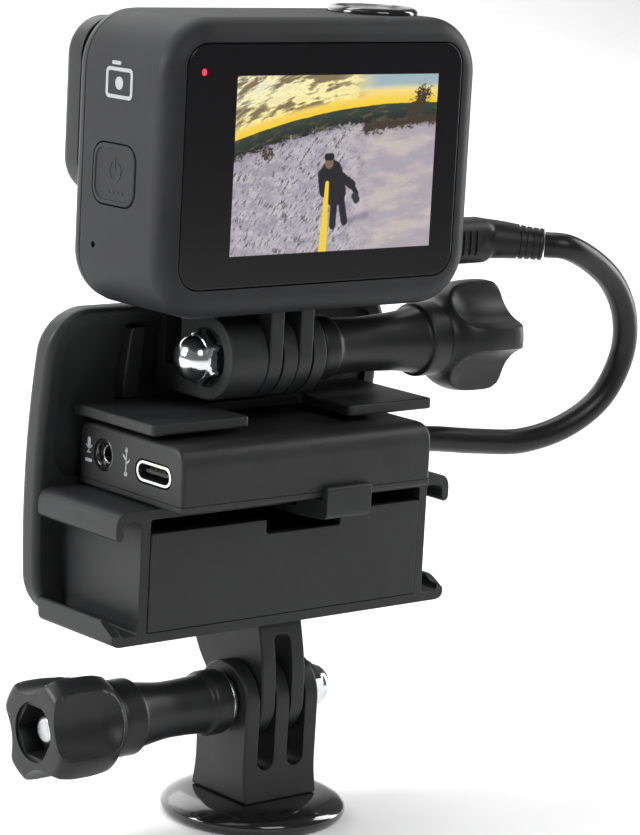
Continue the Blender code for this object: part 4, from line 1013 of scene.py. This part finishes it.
def adapter():
    split = ADP_Z0 + 1.2
    spare = 2.0
    port = (PORT_Y, PORT_Z)
    profile = [(ADP_Y0, split - spare), (ADP_Y0, ADP_Z1), (ADP_Y1, ADP_Z1), (ADP_Y1, split - spare)]
    outline = fillet(profile, [0.0, 3.6, 2.0, 0.0], 8)
    cover = slab("adapter_shell", outline, "X", ADP_X0, ADP_X1, 0.7)
    cut(cover,
        block((ADP_X0 - 1, ADP_Y0 - 1, split - spare - 1), (ADP_X1 + 1, ADP_Y1 + 1, split), "Z"),
        block((ADP_X0 + 1.5, ADP_Y0 + 1.5, split - 1), (ADP_X1 - 1.5, ADP_Y1 - 1.5, ADP_Z1 - 1.5), "Z", 0.6,
              3), rod(2.75, (ADP_X0 - 1, JACK_Y, JACK_Z), 4, "+X"),
        block(*around("X", port, (5.05, 2.05), ADP_X0 - 1, ADP_X0 + 3), "X", 2.0, 8))
    dress(cover, "adapter", "holder", "plastic_dark", ["adapter_cover"], 34)
    low = [(ADP_Y0, ADP_Z0), (ADP_Y0, split + spare), (ADP_Y1, split + spare), (ADP_Y1, ADP_Z0)]
    base = slab("adapter_bottom", fillet(low, [0.6, 0.0, 0.0, 0.6], 4), "X", ADP_X0, ADP_X1, 0.4)
    cut(base, block((ADP_X0 - 1, ADP_Y0 - 1, split - 0.1), (ADP_X1 + 1, ADP_Y1 + 1, split + spare + 1),
                    "Z"))
    dress(base, "adapter", "holder", "plastic_dark", ["adapter_base"], 34)

    face = ADP_X0 + 0.1
    lip = fillet([(0, 9.0), (1.75, 9.0), (1.75, 0.35), (2.05, 0.0), (2.6, 0.0), (2.7, 0.2), (2.7, 12.0),
                  (0, 12.0)], [0, 0.1, 0.1, 0.1, 0.1, 0.05, 0.1, 0], 3, False)
    piece("mic_socket", turned(lip, (face, JACK_Y, JACK_Z), "+X", turns=56), "gloss", "holder",
          "plastic_black", ["mic_jack_socket"])
    spring = fillet([(1.3, 1.0), (1.74, 1.0), (1.74, 1.8), (1.3, 1.8)], 0.1, 3)
    piece("mic_contact", turned(spring, (face, JACK_Y, JACK_Z), "+X", turns=40, ring=True),
          "port", "holder", "steel")

    shell = bare("usb_shell", prism(*around("X", port, (4.75, 1.8), ADP_X0 + 0.02, ADP_X0 + 7.5), "X", 1.78,
                                    (0.12, 0.1), 10, 3))
    cut(shell, block(*around("X", port, (4.2, 1.25), ADP_X0 - 1, ADP_X0 + 6.7), "X", 1.24, 10))
    soften(shell, 0.08, 2, 50)
    dress(shell, "port", "holder", "steel", ["adapter_usb_shell"], 40)
    tongue = prism(*around("X", port, (3.3, 0.38), ADP_X0 + 0.9, ADP_X0 + 6.4), "X", 0.35, (0.15, 0.0), 5,
                   3)
    piece("usb_tongue", tongue, "dark_hole", "holder", "plastic_black", ["adapter_usb_tongue"])
    for i in range(5):
        y = PORT_Y - 2.4 + 1.2 * i
        pad = prism((ADP_X0 + 1.3, y - 0.28, PORT_Z + 0.36),
                    (ADP_X0 + 4.6, y + 0.28, PORT_Z + 0.44), "Z", 0.1, steps=3)
        piece(f"usb_contact_{i + 1}", pad, "brass", "holder", "steel")
    end_marks()


def end_marks():
    """Small printed signs beside the two sockets: a plain microphone and a plain branching plug."""
    face = ADP_X0 - 0.05

    def mark(name, outline):
        dress(slab(name, outline, "X", face, face + 0.15, 0.0), "mark", "holder", "plastic_dark",
              level=False)

    mic_y, mic_z = 23.9, -23.6
    mark("mic_mark_head", shifted(round_rect(0.42, 0.85, 0.42, 6), mic_y, mic_z))
    ring = arc(0, 0, 0.95, 200, 340, 12) + arc(0, 0, 0.75, 340, 200, 12)
    mark("mic_mark_cup", shifted(ring, mic_y, mic_z - 0.15))
    mark("mic_mark_stem", shifted(round_rect(0.1, 0.35, 0.08, 3), mic_y, mic_z - 1.35))
    mark("mic_mark_foot", shifted(round_rect(0.55, 0.1, 0.08, 3), mic_y, mic_z - 1.75))
    mark("mic_mark_bar", shifted(round_rect(0.95, 0.28, 0.2, 4), mic_y, mic_z - 3.1))
    fork_y, fork_z = 13.4, -25.2
    mark("plug_mark_stem", shifted(round_rect(0.12, 1.9, 0.1, 3), fork_y, fork_z))
    mark("plug_mark_dot", shifted(arc(0, 0, 0.42, 0, 345, 15), fork_y, fork_z - 1.9))
    mark("plug_mark_tip",
         [(fork_y, fork_z + 2.6), (fork_y - 0.4, fork_z + 1.8), (fork_y + 0.4, fork_z + 1.8)])
    for side, level in ((-1, -0.4), (1, 0.2)):
        branch = [(0, level), (0.95 * side, level + 0.75), (0.95 * side, level + 1.15), (0, level + 0.4)]
        if side < 0:
            branch = branch[::-1]
        mark(f"plug_mark_branch_{'left' if side < 0 else 'right'}", shifted(branch, fork_y, fork_z))


# ---------------------------------------------------------------- screws, nuts, foot

def knob_shape(length, first_hollow):
    """Lobes left between hollows cut beside the axis; the hollows rise and fade out at the collar."""
    fade_end, fade_rise, melt = length - KNOB_HEAD + 5.0, 0.055, 0.55

    def shape(angle, radius, distance):
        if radius < 6.1 or distance < length - KNOB_HEAD + 0.3:
            return radius
        turn = math.tau / SCOOPS
        phi = (angle - math.radians(first_hollow) + turn / 2) % turn - turn / 2
        offset = SCOOP_AT + fade_rise * max(0.0, fade_end - distance) ** 2
        inside = SCOOP_R ** 2 - (offset * math.sin(phi)) ** 2
        wall = offset * math.cos(phi) - math.sqrt(inside) if inside > 0 else radius + 9.0
        share = min(1.0, max(0.0, 0.5 + 0.5 * (wall - radius) / melt))
        return wall * (1 - share) + radius * share - melt * share * (1 - share)

    return shape


def thumbscrew(prefix, face, direction, length, first_hollow, body, travel_body):
    x, y, z = face
    barrel = length - KNOB_HEAD
    profile = [(0, 1.4), (5.6, 1.4), (5.6, 4.8), (5.0, 5.4), (4.8, 9.0), (4.75, 13.0), (5.15, barrel - 9.0),
               (5.75, barrel - 5.2), (6.5, barrel - 4.9), (6.5, barrel - 1.0), (6.3, barrel - 0.5),
               (6.9, barrel + 0.4), (8.3, barrel + 1.6), (9.5, barrel + 4.0), (9.9, barrel + 7.0),
               (9.9, length - 3.0), (9.6, length - 1.2), (8.6, length), (6.0, length), (0, length)]
    radii = [0, 0.5, 0.6, 0.6, 2.0, 2.5, 3.0, 0.4, 0.5, 0.5, 0.4, 1.0, 1.6, 1.8, 1.8, 1.6, 1.0, 1.0, 0, 0]
    line = fillet(profile, radii, 4, False)
    dense = [line[0]]
    for a, b in zip(line, line[1:]):
        parts = max(1, math.ceil(abs(b[1] - a[1]) / 0.7))
        dense += [(a[0] + (b[0] - a[0]) * i / parts, a[1] + (b[1] - a[1]) * i / parts)
                  for i in range(1, parts + 1)]
    knob = bare(prefix + "_grip", turned(dense, face, direction, knob_shape(length, first_hollow), 160))
    sign = 1 if direction == "+X" else -1
    cut(knob, hexagon(SOCKET_FLATS, (x + sign * (length - SOCKET_DEEP), y, z), SOCKET_TOOL, direction),
        rod(SCREW_SEAT, (x + sign * (length - 0.5), y, z), 3, direction, 64))
    dress(knob, "knob", body, "plastic_dark", [prefix + "_thumbscrew_knob"], 30)
    ring = fillet([(SCREW_HOLE, 0), (WASHER_R, 0), (WASHER_R, WASHER_T), (SCREW_HOLE, WASHER_T)], 0.2, 3)
    piece(prefix + "_flat_washer", turned(ring, (x + sign * GAP, y, z), direction,
                                          turns=56, ring=True), "steel", travel_body, "steel",
          [prefix + "_thumbscrew_washer"])
    frame["nodes"][prefix + "_thumbscrew_bolt"].data.materials[0] = LOOK["steel"]
    stud_end = length - SOCKET_DEEP
    stud = fillet([(0, stud_end - 1), (2.4, stud_end - 1), (2.4, stud_end + 1.6), (1.9, stud_end + 2.0),
                   (0, stud_end + 2.0)], [0, 0, 0.2, 0.2, 0], 3, False)
    piece(prefix + "_stud_end", turned(stud, face, direction, turns=32), "steel", body, "steel")


def cap_nut(name, node, face_x, y, z, direction, body):
    """A domed nut: a hexagon with a turned chamfer, and a dome on it."""
    half, hex_long, dome_r = NUT_FLATS / 2, 3.3, 3.75
    corner = half / math.cos(math.pi / 6)

    def shape(angle, radius, distance):
        if distance > hex_long:
            return radius
        turn = (angle + math.pi / 2) % (math.pi / 3) - math.pi / 6
        return min(half / math.cos(turn), radius)

    profile = [(0, 0), (corner - 0.5, 0), (corner, 0.35), (corner, 2.55), (corner - 0.22, 2.85),
               (corner - 0.5, 3.12), (half - 0.08, hex_long), (dome_r + 0.05, hex_long + 0.02),
               (dome_r, hex_long + 0.2)]
    profile += [(dome_r * math.cos(t), hex_long + 0.3 + 3.1 * math.sin(t)) for t in
                [math.radians(a) for a in range(5, 91, 5)]]
    piece(name, turned(profile, (face_x, y, z), direction, shape, 120), "chrome", body, "chrome",
          [node], 28, False)


def screws_and_nuts():
    upper_face = UPPER_X + PITCH * 2 + BLADE / 2
    thumbscrew("upper", (upper_face, UPPER_Y, UPPER_Z), "+X", UPPER_KNOB, UPPER_SCOOP,
               "upper_screw", "upper_screw_travel")
    nut_face = UPPER_X - PITCH * 2 - BLADE / 2 - BOSS_OUT + POCKET - GAP
    cap_nut("upper_dome_nut", "upper_cap_nut", nut_face, UPPER_Y, UPPER_Z, "-X", "holder")
    lower_face = LOWER_X - PITCH * 2 - BLADE / 2
    thumbscrew("lower", (lower_face, LOWER_Y, LOWER_Z), "-X", LOWER_KNOB, LOWER_SCOOP,
               "lower_screw", "lower_screw_travel")
    far_face = LOWER_X + PITCH * 2 + BLADE / 2 + GAP
    cap_nut("lower_dome_nut", "lower_cap_nut", far_face, LOWER_Y, LOWER_Z, "+X", "foot")


def foot():
    x0, x1 = LOWER_X - PITCH * 2 - BLADE / 2, LOWER_X + PITCH * 2 + BLADE / 2
    base, deep = FLOOR + DISC_TOP + 0.05, COLUMN_DEPTH / 2
    outline = arc(LOWER_Y, LOWER_Z, LOWER_R, 0, 180, 40)
    outline += fillet([(LOWER_Y - LOWER_R, -69.5), (LOWER_Y - deep, -80.5), (LOWER_Y - deep - 0.8, base),
                       (LOWER_Y + deep + 0.8, base), (LOWER_Y + deep, -80.5), (LOWER_Y + LOWER_R, -69.5)],
                      [0, 3.0, 0, 0, 3.0, 0], 5, False)
    column = slab("foot_prongs", outline, "X", x0, x1, 0.45)
    tools = []
    for side in (-1, 1):
        x = LOWER_X + side * PITCH
        slot = arc(x, SLOT_BOTTOM + SLOT_GAP / 2, SLOT_GAP / 2, 180, 360, 16)
        slot += [(x + SLOT_GAP / 2, LOWER_Z + 12), (x - SLOT_GAP / 2, LOWER_Z + 12)]
        mesh = loft([[(u, yy, v) for u, v in slot] for yy in (-4.0, 28.0)])
        tools.append(bare("slot", mesh))
    cut(column, *tools, rod(SCREW_HOLE, (x0 - 1, LOWER_Y, LOWER_Z), x1 - x0 + 2, "+X"),
        rod(4.6, (LOWER_X, LOWER_Y, base - 1), 4.8, "+Z"))
    soften(column, 0.22, 2, 50)
    dress(column, "foot", "foot", "plastic_dark", ["foot_column"], 34)

    profile = [(4.6, GAP), (4.6, DISC_TOP), (9.6, DISC_TOP), (11.5, 3.95), (13.6, 3.45), (15.2, 2.7),
               (DISC_R, 1.9), (DISC_R, 0.9), (15.5, GAP), (14.3, GAP), (14.3, 1.3), (6.2, 1.3), (6.2, GAP)]
    radii = [0.2, 0.3, 1.2, 1.0, 1.2, 0.7, 0.4, 0.4, 0.3, 0.1, 0.1, 0.1, 0.1]
    centre = (LOWER_X, LOWER_Y, FLOOR)
    piece("foot_dish", turned(fillet(profile, radii, 5), centre, "+Z", turns=128, ring=True),
          "disc", "foot", "gloss_black", ["foot_disc"], 30)
    pad = fillet([(6.5, 0), (14.0, 0), (14.0, 1.0), (6.5, 1.0)], 0.2, 3)
    piece("foot_ring_pad", turned(pad, centre, "+Z", turns=96, ring=True), "pad", "foot",
          "rubber_black", ["foot_pad"])
    threads = [(4.3, 7.8), (4.3, 0.35)]
    for i in range(THREAD_TURNS):
        z = 0.6 + i * 0.78
        threads += [(3.25, z), (3.6, z + 0.39)]
    threads += [(3.25, 7.8)]
    piece("thread_bush", turned(threads, centre, "+Z", turns=64, ring=True), "brass", "foot",
          "brass", ["thread_insert"], 25, False)


# ---------------------------------------------------------------- plain CAD pieces, stage, lights

def recolour():
    """CAD pieces that are right as they are get a material of the same quality."""
    looks = {"sensor_board": "board", "main_board": "board", "adapter_circuit_board": "board",
             "rear_display_panel": "gloss", "front_status_light": "amber", "finger_pin_left": "steel",
             "finger_pin_right": "steel"}
    for node, look in looks.items():
        frame["nodes"][node].data.materials[0] = LOOK[look]


def stage():
    """A pale floor that curves up into a backdrop."""
    width, front, bend, back, height = 3.0, -2.5, 1.2, 2.2, 2.6
    profile = [(front, 0.0)] + [(bend + (back - bend) * math.sin(math.radians(a)),
                                 (back - bend) * (1 - math.cos(math.radians(a)))) for a in range(0, 91, 6)]
    profile.append((back, height))
    bm = bmesh.new()
    rows = [[bm.verts.new((side * width, y, z)) for side in (-1, 1)] for y, z in profile]
    for a, b in zip(rows, rows[1:]):
        bm.faces.new((a[0], a[1], b[1], b[0]))
    mesh = bpy.data.meshes.new("backdrop")
    bm.to_mesh(mesh)
    bm.free()
    floor = bpy.data.objects.new("backdrop", mesh)
    bpy.context.scene.collection.objects.link(floor)
    material, tree, shader = new_material("pale_paper")
    fibres = noise(tree, place(tree), 40.0, 3.0)
    tree.links.new(blend_colours(tree, fibres, (0.86, 0.86, 0.86), (0.90, 0.90, 0.90)),
                   shader.inputs["Base Color"])
    settings(shader, Roughness=0.9)
    mesh.materials.append(material)
    mesh.shade_smooth()


def area_light(name, location, target, size, power, size_y=None):
    light = bpy.data.lights.new(name, "AREA")
    light.energy = power
    light.size = size
    if size_y:
        light.shape = "RECTANGLE"
        light.size_y = size_y
    obj = bpy.data.objects.new(name, light)
    obj.location = location
    obj.rotation_euler = (Vector(target) - Vector(location)).to_track_quat("-Z", "Y").to_euler()
    bpy.context.scene.collection.objects.link(obj)


def lights():
    middle = (0.0, 0.0, 0.075)
    area_light("key_top", (-0.35, 0.05, 0.75), middle, 0.45, 0.6)
    area_light("side_left", (-0.74, 0.30, 0.40), (0.0, 0.0, 0.115), 0.30, 6.5, 0.4)
    area_light("side_right", (0.60, -0.10, 0.25), middle, 0.16, 3.2, 0.6)
    area_light("front_high", (-0.10, -0.62, 0.55), middle, 0.35, 2.1)
    area_light("back_rim", (0.15, 0.75, 0.55), middle, 0.5, 0.8)
    area_light("backdrop_wash", (0.0, 0.9, 1.5), (0.0, 2.0, 0.5), 1.8, 60.0)
    backdrop = bpy.data.worlds.new("soft_studio")
    backdrop.use_nodes = True
    sky = backdrop.node_tree.nodes["Background"]
    sky.inputs["Color"].default_value = (1.0, 1.0, 1.0, 1.0)
    sky.inputs["Strength"].default_value = 0.16
    bpy.context.scene.world = backdrop
    bpy.context.scene.view_settings.view_transform = "Standard"


EYE = Vector((-0.33357, -0.40762, 0.16892))
AZIMUTH, ELEVATION, ROLL = math.radians(-40.21), math.radians(10.713), math.radians(-3.07)
LENS_MM = 135.67


def camera():
    right = Vector((math.cos(AZIMUTH), math.sin(AZIMUTH), 0))
    back = Vector((math.sin(AZIMUTH) * math.cos(ELEVATION), -math.cos(AZIMUTH) * math.cos(ELEVATION),
                   math.sin(ELEVATION)))
    up = back.cross(right)
    side = right * math.cos(ROLL) - up * math.sin(ROLL)
    top = right * math.sin(ROLL) + up * math.cos(ROLL)
    data = bpy.data.cameras.new("view_camera")
    data.lens = LENS_MM
    data.sensor_width = 36.0
    data.clip_start, data.clip_end = 0.01, 20.0
    obj = bpy.data.objects.new("view_camera", data)
    bpy.context.scene.collection.objects.link(obj)
    obj.matrix_world = Matrix.Translation(EYE) @ Matrix((side, top, back)).transposed().to_4x4()
    bpy.context.scene.camera = obj


camera()
camera_shell()
camera_front()
camera_back()
camera_buttons()
side_badge()
camera_bay()
camera_fingers()
plug_and_cable()
back_plate()
box_frame()
front_panel()
roof()
upper_prongs()
lower_prongs()
latch()
adapter()
screws_and_nuts()
foot()
recolour()
stage()
lights()
